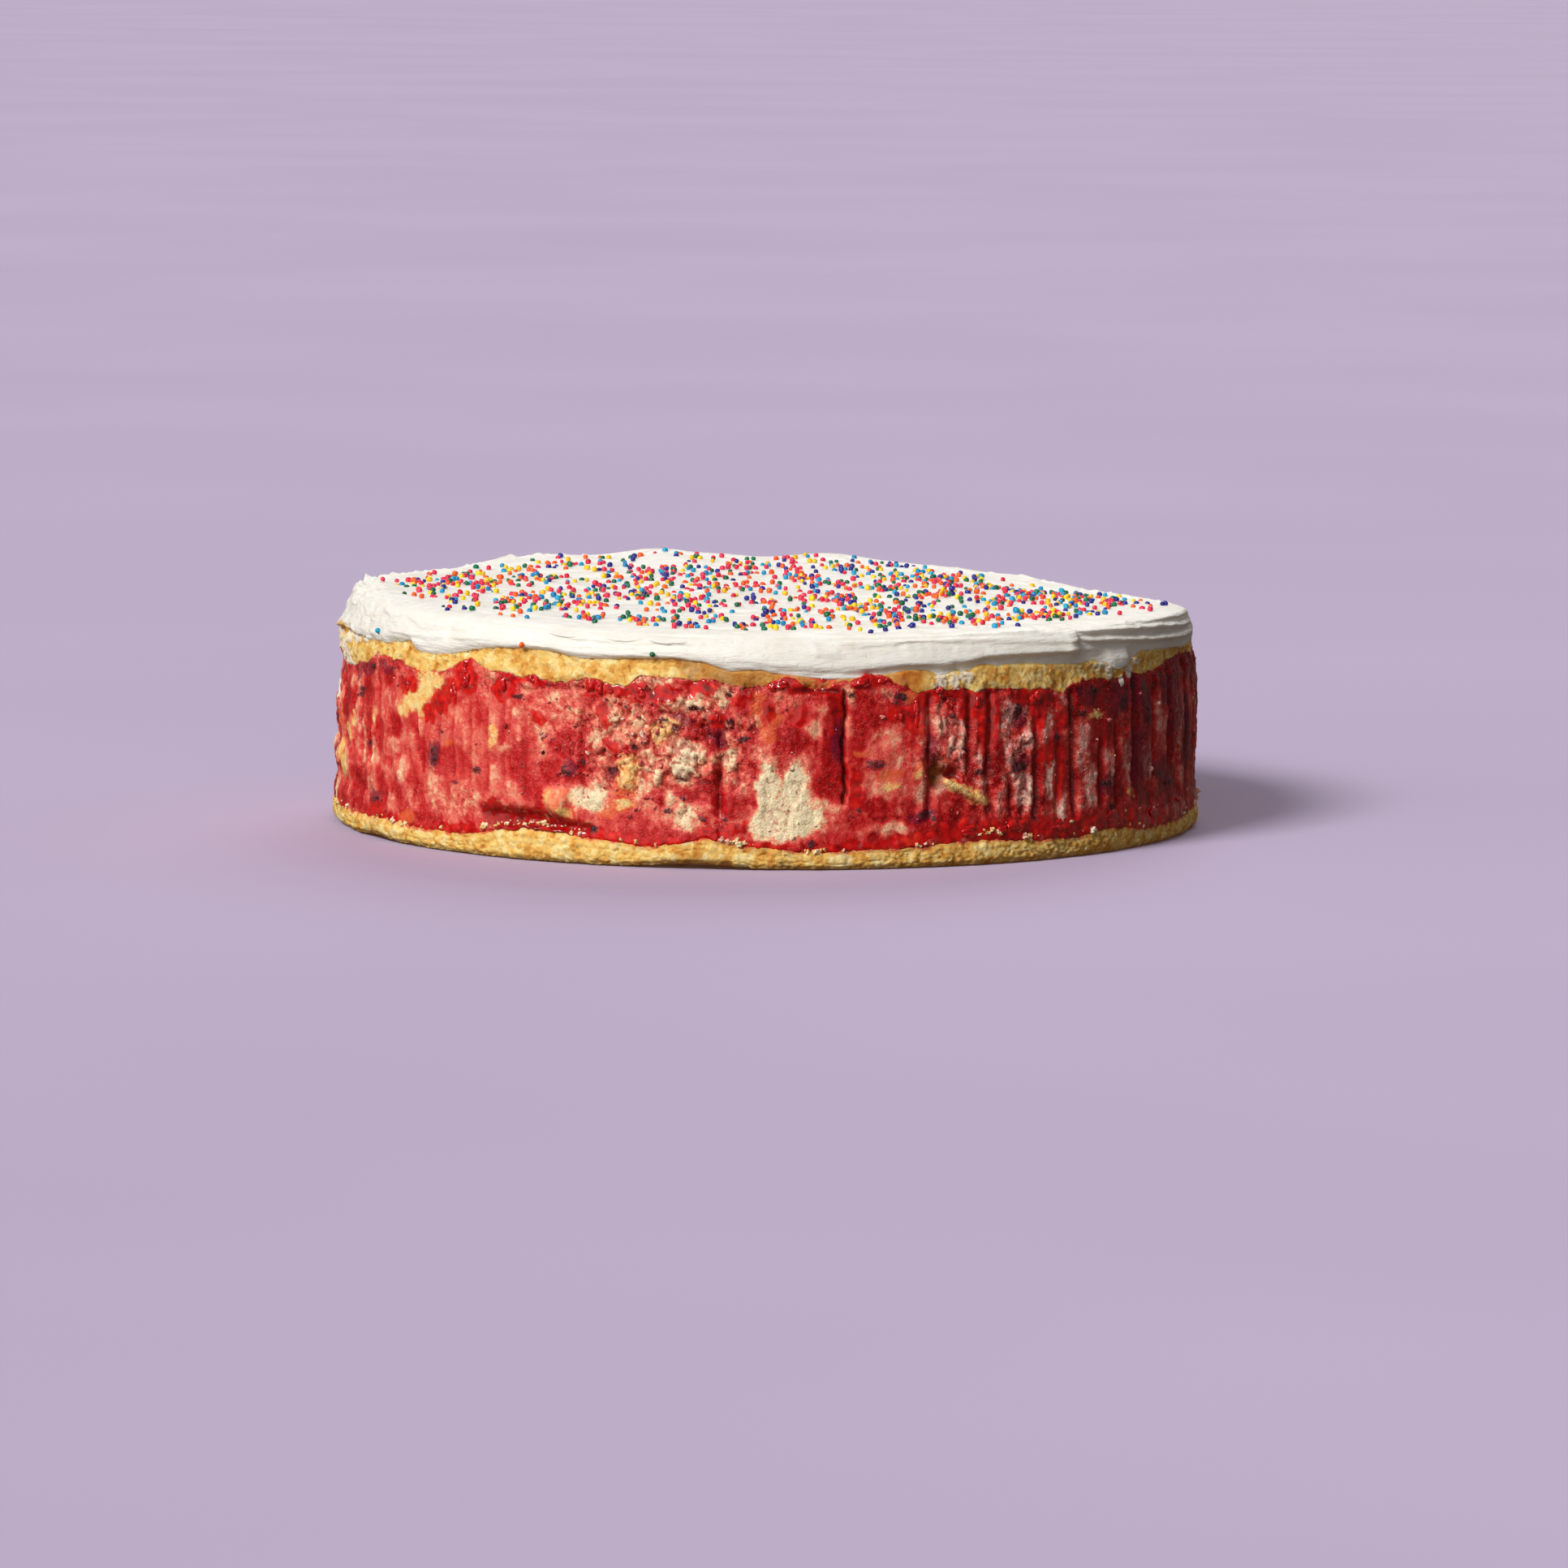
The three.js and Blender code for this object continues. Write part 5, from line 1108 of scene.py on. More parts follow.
def geodesic(n):
    """A round ball whose twenty faces are each cut into n * n triangles."""
    v0, f0 = icosphere(0)
    v, f, seen = [], [], {}

    def add(p):
        p = p / np.linalg.norm(p)
        key = tuple(np.round(p, 5))
        if key not in seen:
            seen[key] = len(v)
            v.append(p)
        return seen[key]

    for a, b, c in f0:
        grid = [[add(v0[a] * (n - i - j) + v0[b] * i + v0[c] * j) for j in range(n + 1 - i)] for i in range(n + 1)]
        for i in range(n):
            for j in range(n - i):
                f.append((grid[i][j], grid[i + 1][j], grid[i][j + 1]))
                if i + j < n - 1:
                    f.append((grid[i + 1][j], grid[i + 1][j + 1], grid[i][j + 1]))
    return np.array(v), np.array(f)


BALL1, BALL2, BALL3 = (icosphere(k) for k in (1, 2, 3))
PEARL = geodesic(3)

# Where sprinkles fell thickly: x, y, spread, how many.
HEAPS = [(-32, -16, 5, 16), (-52, -14, 5, 12), (-22, -18, 5, 12), (-14, -28, 4, 9), (-2, -30, 5, 12), (18, -22, 5, 12), (-58, -52, 6, 16),
         (70, -54, 9, 34), (46, -68, 9, 34), (30, -48, 6, 14), (68, 18, 9, 26), (-66, 30, 9, 26), (-88, 24, 5, 9), (46, -6, 5, 12), (92, -10, 4, 7),
         (-22, -94, 3, 6), (-32, -80, 5, 10), (-80, -66, 4, 7), (80, -30, 6, 13), (12, 40, 8, 22), (-30, 52, 8, 20), (50, 60, 7, 18), (-6, 78, 7, 16),
         (-58, 64, 6, 12), (30, 14, 6, 12), (-14, 8, 6, 12), (82, 40, 5, 9), (0, -70, 6, 12), (-48, -78, 5, 9), (60, -24, 5, 10)]
SPRINKLES = 1580
COLOURS = ("red", "orange", "yellow", "green", "blue", "navy")


def thickness_of_fall(x, y):
    """How likely a sprinkle is to lie at a point, 0 to 1."""
    t = np.degrees(np.arctan2(x, -y))
    r = np.hypot(x, y)
    edge = 99.5 - 1.5 * hump(t, -30, 22) + 1.5 * hump(t, 4, 18) + 3.0 * hump(t, 82, 28) + 2.5 * hump(t, -80, 24) + 3.0 * hump(t, 180, 60)
    edge = edge + 3.0 * fbm(np.stack([x, y, 0 * x], -1), 16, 301, 2)
    q = np.stack([x, y, 0 * x + 9], -1)
    d = np.clip(0.46 + 0.55 * fbm(q, 24, 302, 2) + 1.5 * fbm(q, 6.0, 303, 2), 0.03, 1)
    d = d * (1 - smooth(edge - 7, edge + 3, r)) * (0.72 + 0.28 * smooth(20, 60, r))
    return np.maximum(d, 0.05 * (1 - smooth(103, 109, r)) * (r > 80))


def drop_sprinkles():
    r = np.random.default_rng(771)
    want = []
    for x, y, s, n in HEAPS:
        a = r.normal(size=(n, 2)) * s * 0.62
        want += [(x + u, y + v, 1) for u, v in a]
    x, y = r.uniform(-112, 112, 9000), r.uniform(-112, 112, 9000)
    keep = r.uniform(0, 1, 9000) < thickness_of_fall(x, y)
    want += [(u, v, 0) for u, v in zip(x[keep], y[keep])]
    cell, placed = {}, []
    size_all = np.clip(r.normal(0.70, 0.085, len(want)), 0.5, 0.9)
    xs, ys = np.array([w[0] for w in want]), np.array([w[1] for w in want])
    ground = top_level(xs, ys)
    for k, (px, py, heap) in enumerate(want):
        if len(placed) >= SPRINKLES:
            break
        if math.hypot(px, py) > 108:
            continue
        rad = size_all[k]
        sink = (0.2 + 0.95 * r.uniform() ** 2.2) * rad
        pz = ground[k] + rad - sink
        cx, cy = int(px // 2), int(py // 2)
        ok = True
        for dx in (-1, 0, 1):
            for dy in (-1, 0, 1):
                for qx, qy, qz, qr, _ in cell.get((cx + dx, cy + dy), ()):
                    d = math.hypot(px - qx, py - qy)
                    if d < (rad + qr) * 0.97:
                        if heap and d > 0.5 * qr and r.uniform() < 0.35:
                            pz = max(pz, qz + math.sqrt(max((rad + qr) ** 2 * 0.94 - d * d, 0)))
                        else:
                            ok = False
        if not ok or pz > ground[k] + 2.0:
            continue
        item = (px, py, pz, rad, int(r.choice(6, p=[0.27, 0.15, 0.17, 0.13, 0.14, 0.14])))
        cell.setdefault((cx, cy), []).append(item)
        placed.append(item)
    # three strays on the side of the icing
    for t, z, c in ((-33.0, 55.4, 1), (-14.6, 54.6, 3), (-62.5, 54.6, 4)):
        k = pieced(np.array([t]), [(at, np.array(v).ravel()) for at, v in SIDE]).reshape(7, 2)
        rim, edge = rim_height(np.array([t]))[0], icing_edge(np.array([t]))[0]
        h = (z - edge) / (rim - edge)
        rr = np.interp(h, k[::-1, 1], k[::-1, 0])
        x, y, _ = spot(np.array([t]), rr + 0.4, np.array([z]))[0]
        placed.append((x, y, z, 0.74, c))
    return placed


def make_sprinkles():
    r = np.random.default_rng(772)
    placed = drop_sprinkles()
    out = {}
    for c, name in enumerate(COLOURS):
        shapes = []
        for x, y, z, rad, col in placed:
            if col != c:
                continue
            v = PEARL[0] * (1 + r.uniform(-0.08, 0.08, 3)) * rad
            v = v + 0.05 * rad * PEARL[0] * np.sin(3.1 * PEARL[0][:, [1]] + r.uniform(0, 6))
            v = v @ turn(r).T
            shapes.append((v + np.array([x, y, z]), PEARL[1], {"each": r.uniform()}))
        out[name] = many("sprinkles_" + name, shapes)
    return out


class Surface:
    """The radius of a finished side at any bearing and height."""

    def __init__(self, t, z, r, rows):
        self.t, self.z, self.r = t, z.reshape(rows, -1), r.reshape(rows, -1)

    def at(self, t, z):
        j = int(np.argmin(np.abs(apart(self.t, t))))
        zz, rr = self.z[:, j], self.r[:, j]
        order = np.argsort(zz)
        return float(np.interp(z, zz[order], rr[order]))


def place(v, t, z, r):
    """Points given as (across, up, out) put on the side at a bearing, height and radius."""
    a = math.radians(t)
    east, up, out = np.array([math.cos(a), math.sin(a), 0]), np.array([0, 0, 1.0]), np.array([math.sin(a), -math.cos(a), 0])
    return v[:, [0]] * east + v[:, [1]] * up + v[:, [2]] * out + spot(t, r, z)


def lump(ball, size, seed, rough, wave):
    """A ball made uneven: rough is how much, wave the size of its bumps compared with its own."""
    v, f = ball
    n = fbm(v + seed * 3.7, wave, seed, 2)
    return v * (1 + rough * n)[:, None] * np.array(size), f


def crumb(r, size):
    v, f = BALL1 if size < 0.55 else BALL2
    n = fbm(v + r.uniform(0, 99), 0.75, int(r.integers(1, 9999)), 2)
    g = v * (1 + 1.1 * n)[:, None] * np.array([1, r.uniform(0.5, 0.95), r.uniform(0.4, 0.8)]) * size
    return g @ turn(r).T, f


def strew_crumbs(side):
    """Loose crumbs that stuck along the seam of the lower sponge and over the cut side."""
    r = np.random.default_rng(915)
    golden, pale, pink, dark = [], [], [], []

    def stick(to, t, z, size, out=0.1):
        v, f = crumb(r, size)
        to.append((place(v, t, z, side.at(t, z) + size * out), f, {"each": r.uniform()}))

    runs = [(-40, -24, 22, 0.7, 2.0), (-25, -16, 8, 0.4, 1.3), (-6, -1.5, 12, 0.2, 1.0), (5, 10.5, 10, 0.0, 0.6), (19.5, 22.5, 6, 0.2, 1.0),
            (28.5, 33, 9, 1.2, 3.0), (34, 48, 9, 0.6, 2.0), (50, 60, 6, 0.6, 1.6), (-62, -44, 10, 0.2, 1.2), (-80, -62, 8, 0.2, 1.2),
            (70, 92, 10, 0.3, 2.0), (95, 268, 90, 0.1, 2.2)]
    for a, b, n, low, high in runs:
        for _ in range(n):
            t = r.uniform(a, b)
            z = float(base_top_soft(t)) + r.uniform(low, high)
            stick(golden if r.uniform() < 0.8 else pale, t, z, float(np.clip(r.gamma(3.0, 0.14), 0.2, 0.9)))
    for t, z, s in ((-39.0, 8.0, 1.0), (-25.6, 7.7, 0.7), (-2.6, 7.2, 0.85), (-3.6, 7.8, 0.6), (31.4, 8.0, 0.7), (43.2, 9.2, 0.6), (89.0, 7.9, 1.1), (-37.0, 8.8, 0.65),
                    (-35.8, 8.6, 0.6), (7.6, 5.3, 0.6), (54.5, 10.2, 0.5), (-14.0, 6.0, 0.6), (-31.0, 9.4, 0.65)):
        stick(golden, t, z, s, -0.15)
    # torn crumb on the cut side
    for _ in range(230):
        t = r.uniform(-180, 180)
        z = r.uniform(9, 46)
        s = float(np.clip(r.gamma(4.0, 0.085), 0.18, 0.75))
        to = r.choice(3, p=[0.06, 0.90, 0.04])
        stick((pale, pink, dark)[to], t, z, s, 0.1)
    for _ in range(130):
        t = r.normal(-19, 9)
        z = r.uniform(14, 47)
        s = float(np.clip(r.gamma(4.0, 0.1), 0.2, 0.85))
        to = r.choice(3, p=[0.10, 0.87, 0.03])
        stick((pale, pink, dark)[to], t, z, s, 0.15)
    # Pale crumbs go on the cream places and dark crumbs on the dark places; where a dark place is painted shade, its
    # dark crumbs are dark things set into that painted shade.
    for t, z, wx, wz, kind in [(a, b, c, d, 0) for a, b, c, d in CREAM] + [(a, b, c, d, 2) for a, b, c, d in DARK]:
        n = int(np.clip(wx * wz * (0.3 if kind == 0 else 1.8), 0, 5))
        for _ in range(n):
            u, v = r.normal(size=2) * 0.5
            stick((pale, pink, dark)[kind], t + u * wx, z + v * wz, float(np.clip(r.gamma(4.0, 0.085), 0.18, 0.6)), -0.1)
    return golden, pale, pink, dark


# Beads and runs of jam that stand out from the side: bearing, height, width, height, how proud.
BEADS = [(2.4, 48, 2.2, 1.1, 1.15), (0.7, 46.8, 1.04, 1, 0.8), (7.1, 48.3, 1.04, 0.88, 0.47), (22.8, 45.6, 1.04, 1.38, 0.62),
         (-22, 46, 1.52, 2.2, 1.1), (-20.3, 45.2, 0.85, 1, 0.47), (-42.8, 47.5, 1.2, 1.3, 0.85), (-42.2, 46, 1.04, 2.0, 0.9),
         (-44.6, 42.4, 0.95, 1.75, 0.47), (-36, 44.4, 0.95, 2.3, 0.85), (-16.2, 44.7, 1.14, 1.6, 0.7), (12.6, 48, 2.5, 1.3, 1.15),
         (15.2, 48.2, 1.14, 0.88, 0.39), (28, 42.5, 0.95, 2, 0.39), (19.6, 40, 0.85, 2.75, 0.39), (17.2, 39.6, 1.04, 1.75, 0.39),
         (36.8, 42.4, 1.23, 1.38, 0.39), (-31.5, 46.6, 0.95, 0.88, 0.39),
         (-54.3, 42.4, 1.14, 1.25, 0.39), (-6, 39, 0.66, 1.5, 0.31), (27, 8.4, 2.09, 1.25, 0.39), (33, 8.8, 2.47, 1.38, 0.39),
         (41, 8.4, 2.28, 1.25, 0.39), (52, 9.2, 2.66, 1.5, 0.39), (62, 8.6, 2.47, 1.5, 0.39), (118, 44.8, 1.52, 2.25, 0.62),
         (147, 46.2, 1.23, 1.88, 0.55), (171, 44.4, 1.33, 2.62, 0.55), (-158, 46.2, 1.42, 1.62, 0.55), (-133, 45.3, 1.14, 2.38, 0.55),
         (-112, 44.2, 1.52, 1.75, 0.47), (100, 9.2, 2.28, 1.25, 0.39), (135, 8.2, 2.47, 1.25, 0.39), (165, 9.8, 2.28, 1.25, 0.39),
         (-150, 9.4, 2.47, 1.25, 0.39), (-120, 8.2, 2.28, 1.25, 0.39), (-100, 9.2, 1.9, 1.12, 0.39)]


def make_blobs(name, items, side, seed, rough, sink, ball):
    r, shapes = np.random.default_rng(seed), []
    for k, (t, z, w, h, proud) in enumerate(items):
        for n in range(4):  # each bead is a few lumps run together
            du, dv, big = r.normal() * 0.42 * w, r.normal() * 0.34 * h, r.uniform(0.5, 0.85)
            v, f = lump(ball, (w * big, h * big, proud * r.uniform(0.6, 0.9)), seed + 7 * k + n, rough, 0.8)
            tt = t + math.degrees(du / R_WALL)
            shapes.append((place(v, tt, z + dv, side.at(tt, z + dv) + sink * proud), f, {"each": (k * 0.37) % 1}))
    return many(name, shapes)


# ------------------------------------------------------------------ materials

def colour(r, g, b):
    f = lambda c: (c / 255) / 12.92 if c / 255 <= 0.04045 else ((c / 255 + 0.055) / 1.055) ** 2.4
    return (f(r), f(g), f(b), 1.0)


class Finish:
    """A material made of nodes."""

    def __init__(self, name):
        self.m = bpy.data.materials.new(name)
        self.m.use_nodes = True
        self.tree = self.m.node_tree
        self.tree.nodes.clear()
        self.out = self.node("ShaderNodeOutputMaterial")
        self.skin = self.node("ShaderNodeBsdfPrincipled")
        self.link(self.skin.outputs[0], self.out.inputs[0])
        self.where = self.node("ShaderNodeTexCoord").outputs["Object"]

    def node(self, kind):
        return self.tree.nodes.new(kind)

    def link(self, a, b):
        self.tree.links.new(a, b)

    def put(self, socket, v):
        if isinstance(v, bpy.types.NodeSocket):
            self.link(v, socket)
        else:
            socket.default_value = v

    def point(self, name):
        n = self.node("ShaderNodeAttribute")
        n.attribute_name = name
        return n.outputs["Fac"]

    def math(self, op, a, b=0.0, c=None, clamp=False):
        n = self.node("ShaderNodeMath")
        n.operation, n.use_clamp = op, clamp
        self.put(n.inputs[0], a)
        self.put(n.inputs[1], b)
        if c is not None:
            self.put(n.inputs[2], c)
        return n.outputs[0]

    def stretch(self, x, y, z):
        n = self.node("ShaderNodeMapping")
        n.inputs["Scale"].default_value = (x, y, z)
        self.link(self.where, n.inputs[0])
        return n.outputs[0]

    def noise(self, size, detail=2.0, rough=0.5, at=None, distort=0.0):
        n = self.node("ShaderNodeTexNoise")
        self.link(at or self.where, n.inputs["Vector"])
        n.inputs["Scale"].default_value = 1000.0 / size
        n.inputs["Detail"].default_value = detail
        n.inputs["Roughness"].default_value = rough
        n.inputs["Distortion"].default_value = distort
        return n.outputs[0]

    def cell(self, size, at=None, feature="F1", out="Distance"):
        n = self.node("ShaderNodeTexVoronoi")
        n.feature = feature
        self.link(at or self.where, n.inputs["Vector"])
        n.inputs["Scale"].default_value = 1000.0 / size
        return n.outputs[out]

    def tone(self, size, at=None):
        """A random number for each little crumb."""
        n = self.node("ShaderNodeTexVoronoi")
        self.link(at or self.where, n.inputs["Vector"])
        n.inputs["Scale"].default_value = 1000.0 / size
        part = self.node("ShaderNodeSeparateColor")
        self.link(n.outputs["Color"], part.inputs[0])
        return part.outputs[0]

    def noise_colour(self, size):
        n = self.node("ShaderNodeTexNoise")
        self.link(self.where, n.inputs["Vector"])
        n.inputs["Scale"].default_value = 1000.0 / size
        n.inputs["Detail"].default_value = 2.0
        return n.outputs["Color"]

    def span(self, v, a, b, c=0.0, d=1.0):
        """v from a..b mapped smoothly to c..d."""
        n = self.node("ShaderNodeMapRange")
        n.interpolation_type = "SMOOTHSTEP"
        self.put(n.inputs[0], v)
        for k, x in zip((1, 2, 3, 4), (a, b, c, d)):
            n.inputs[k].default_value = x
        return n.outputs[0]

    def ramp(self, v, stops):
        n = self.node("ShaderNodeValToRGB")
        e = n.color_ramp.elements
        while len(e) < len(stops):
            e.new(0.5)
        for k, (at, c) in enumerate(stops):
            e[k].position, e[k].color = at, c
        self.put(n.inputs[0], v)
        return n.outputs[0]

    def mix(self, f, a, b, kind="MIX"):
        n = self.node("ShaderNodeMix")
        n.data_type, n.blend_type = "RGBA", kind
        n.clamp_factor = True
        self.put(n.inputs[0], f)
        self.put(n.inputs[6], a)
        self.put(n.inputs[7], b)
        return n.outputs[2]

    def bump(self, height, distance, strength=1.0, after=None):
        n = self.node("ShaderNodeBump")
        n.inputs["Strength"].default_value = strength
        n.inputs["Distance"].default_value = distance * MM
        self.link(height, n.inputs["Height"])
        if after is not None:
            self.link(after, n.inputs["Normal"])
        return n.outputs[0]

    def set(self, **values):
        for k, v in values.items():
            self.put(self.skin.inputs[k.replace("_", " ")], v)

    def soft(self, weight, radius, scale):
        self.skin.subsurface_method = "RANDOM_WALK"
        self.set(Subsurface_Weight=weight, Subsurface_Radius=radius, Subsurface_Scale=scale * MM)


# The filling's crumb from bare and pale to full of syrup.
PINKS = [(0.0, colour(255, 236, 198)), (0.08, colour(255, 222, 178)), (0.2, colour(250, 176, 142)), (0.32, colour(240, 124, 104)), (0.45, colour(227, 84, 76)),
         (0.58, colour(212, 48, 48)), (0.71, colour(192, 20, 24)), (0.84, colour(158, 4, 10)), (1.0, colour(112, 2, 10))]


def near(f, x, amount):
    """Noise about zero: (x - 0.5) * amount."""
    return f.math("MULTIPLY", f.math("SUBTRACT", x, 0.5), amount)


def plus(f, *xs):
    out = xs[0]
    for x in xs[1:]:
        out = f.math("ADD", out, x)
    return out


def plus_vector(f, at, shift, size):
    """Points moved about by up to size millimetres."""
    n = f.node("ShaderNodeVectorMath")
    n.operation = "MULTIPLY_ADD"
    f.link(shift, n.inputs[0])
    n.inputs[1].default_value = (2 * size * MM,) * 3
    f.link(at, n.inputs[2])
    return n.outputs[0]


def filling_finish():
    f = Finish("pink_cake_crumb")
    tall = f.stretch(1, 1, 0.7)
    n1, n2, n3, n0 = f.noise(1.6, 3, 0.6), f.noise(0.62, 2, 0.6), f.noise(3.2, 4, 0.6, at=tall, distort=0.7), f.noise(0.36, 1)
    pulled = plus_vector(f, f.where, f.noise_colour(1.4), 0.5)
    one, two = f.tone(1.05, pulled), f.tone(0.55, pulled)
    grain = f.cell(0.62)
    def fringe(name, *noises):
        """A kind of place with a ragged edge."""
        p = f.point(name)
        return plus(f, p, f.math("MULTIPLY", plus(f, *noises), f.span(p, 0.0, 0.3)))

    drift = plus(f, near(f, n1, 0.34), near(f, n2, 0.12), near(f, n3, 0.34), near(f, one, 0.16), near(f, two, 0.08))
    drift = f.math("MULTIPLY", f.math("MULTIPLY", drift, f.span(f.point("soak_and_shade"), -0.25, 0.2, 0.45, 1.0)), f.span(f.point("torn"), 0.1, 0.6, 0.7, 1.1))
    soak_and_shade = plus(f, f.point("soak_and_shade"), drift)
    base = f.ramp(soak_and_shade, PINKS)
    # the pale crumb is cooler towards the right
    xyz = f.node("ShaderNodeSeparateXYZ")
    f.link(f.where, xyz.inputs[0])
    cool = f.math("MULTIPLY", f.span(xyz.outputs[0], 0.03, 0.06), f.span(soak_and_shade, 0.46, 0.2))
    base = f.mix(f.math("MULTIPLY", cool, 0.42), base, colour(238, 196, 208))
    # Pale pinkish specks on the torn crumb: partly pale grains, partly painted glints.
    pale_grain_and_glint = f.span(plus(f, n0, near(f, two, 0.35)), 0.60, 0.78)
    base = f.mix(f.math("MULTIPLY", f.math("MULTIPLY", pale_grain_and_glint, f.span(f.point("torn"), 0.1, 0.6, 0.55, 1.0)), f.span(soak_and_shade, 0.2, 0.95, 0.34, 0.16)), base, colour(255, 203, 187))
    base = f.mix(f.math("MULTIPLY", f.span(fringe("purple", near(f, n1, 0.5), near(f, one, 0.3)), 0.25, 0.95), 0.6), base, colour(104, 22, 56))
    warm = f.span(fringe("orange", near(f, n1, 0.7), near(f, n2, 0.3), near(f, one, 0.3)), 0.2, 0.85)
    base = f.mix(f.math("MULTIPLY", warm, 0.5), base, colour(250, 122, 60))
    gold = fringe("yellow", near(f, n1, 1.1), near(f, n2, 0.6), near(f, one, 0.22), near(f, two, 0.12))
    base = f.mix(f.math("MULTIPLY", f.span(gold, 0.1, 0.5), 0.75), base, colour(250, 152, 96))
    gold_col = f.ramp(plus(f, f.noise(2.0, 2), near(f, n2, 0.4)), [(0.22, colour(250, 176, 96)), (0.42, colour(254, 210, 126)), (0.7, colour(255, 234, 168))])
    base = f.mix(f.math("MULTIPLY", f.span(gold, 0.34, 0.8), 0.9), base, gold_col)
    jam = f.span(fringe("jelly", near(f, n1, 0.9), near(f, n2, 0.3), near(f, one, 0.12)), 0.24, 0.76)
    jam_col = f.ramp(plus(f, f.noise(2.2, 3), near(f, n1, 0.6), near(f, one, 0.12)), [(0.24, colour(120, 0, 2)), (0.41, colour(190, 1, 5)), (0.58, colour(226, 10, 10)), (0.78, colour(246, 58, 38))])
    base = f.mix(f.math("MULTIPLY", jam, 0.92), base, jam_col)
    # Dark crumb and fruit skin, purplish and then near black; where the dark places mark the shade under a lump or in a
    # pit, this is painted shade.
    skin = fringe("dark", near(f, n2, 0.8), near(f, two, 0.6), near(f, n1, 0.4))
    base = f.mix(f.math("MULTIPLY", f.span(fringe("dark", near(f, n1, 0.5)), 0.1, 0.9), 0.4), base, colour(124, 36, 50))
    base = f.mix(f.math("MULTIPLY", f.span(skin, 0.64, 0.86), 0.88), base, f.ramp(f.noise(0.8, 1), [(0.35, colour(44, 18, 24)), (0.65, colour(96, 56, 60))]))
    icy = f.span(fringe("icy", near(f, n1, 0.5), near(f, n2, 0.2)), 0.35, 0.62)
    base = f.mix(icy, base, colour(250, 242, 232))
    # Painted shade: the crumb is made darker and redder in grooves, cracks, pits, recesses and the gaps between crumbs.
    painted_shading = f.span(plus(f, f.point("painted_shading"), near(f, n2, 0.3)), 0.08, 1.15)
    base = f.mix(f.math("MULTIPLY", painted_shading, 0.75), base, f.mix(1.0, base, colour(176, 30, 30), "MULTIPLY"))
    # Painted highlight: raised crumbs and lumps are made lighter, less so on jam.
    high = f.span(f.point("painted_shading"), -0.02, -0.36)
    base = f.mix(f.math("MULTIPLY", high, f.math("SUBTRACT", 0.16, f.math("MULTIPLY", jam, 0.14))), base, colour(255, 203, 184))
    base = f.mix(f.math("MULTIPLY", f.point("olive"), 0.85), base, f.mix(f.span(n1, 0.4, 0.6), colour(92, 52, 12), colour(140, 88, 28)))
    f.set(Base_Color=base)
    wet = f.math("MAXIMUM", jam, f.span(soak_and_shade, 0.45, 0.95, 0.0, 0.8))
    rough = plus(f, f.math("MULTIPLY", wet, -0.32), near(f, n2, 0.4), 0.5)
    f.set(Roughness=f.math("MAXIMUM", rough, 0.16))
    h = plus(f, f.math("MULTIPLY", n2, 0.55), f.math("MULTIPLY", n0, 0.3), f.math("MULTIPLY", grain, -0.6), f.math("MULTIPLY", n1, 0.6))
    h = f.math("MULTIPLY", h, f.span(f.point("torn"), 0.1, 0.6, 0.55, 1.0))
    h = f.math("MULTIPLY", h, f.math("SUBTRACT", 1.0, plus(f, f.math("MULTIPLY", jam, 0.85), f.math("MULTIPLY", f.point("cream"), 0.1))))
    f.set(Normal=f.bump(h, 0.26, 1.0), Specular_IOR_Level=0.22, Coat_Weight=f.math("MAXIMUM", f.math("MULTIPLY", jam, 0.95), f.span(soak_and_shade, 0.3, 0.6, 0.0, 0.24)), Coat_Roughness=0.09, Coat_IOR=1.45)
    f.soft(0.34, (1.0, 0.3, 0.18), 1.1)
    return f.m


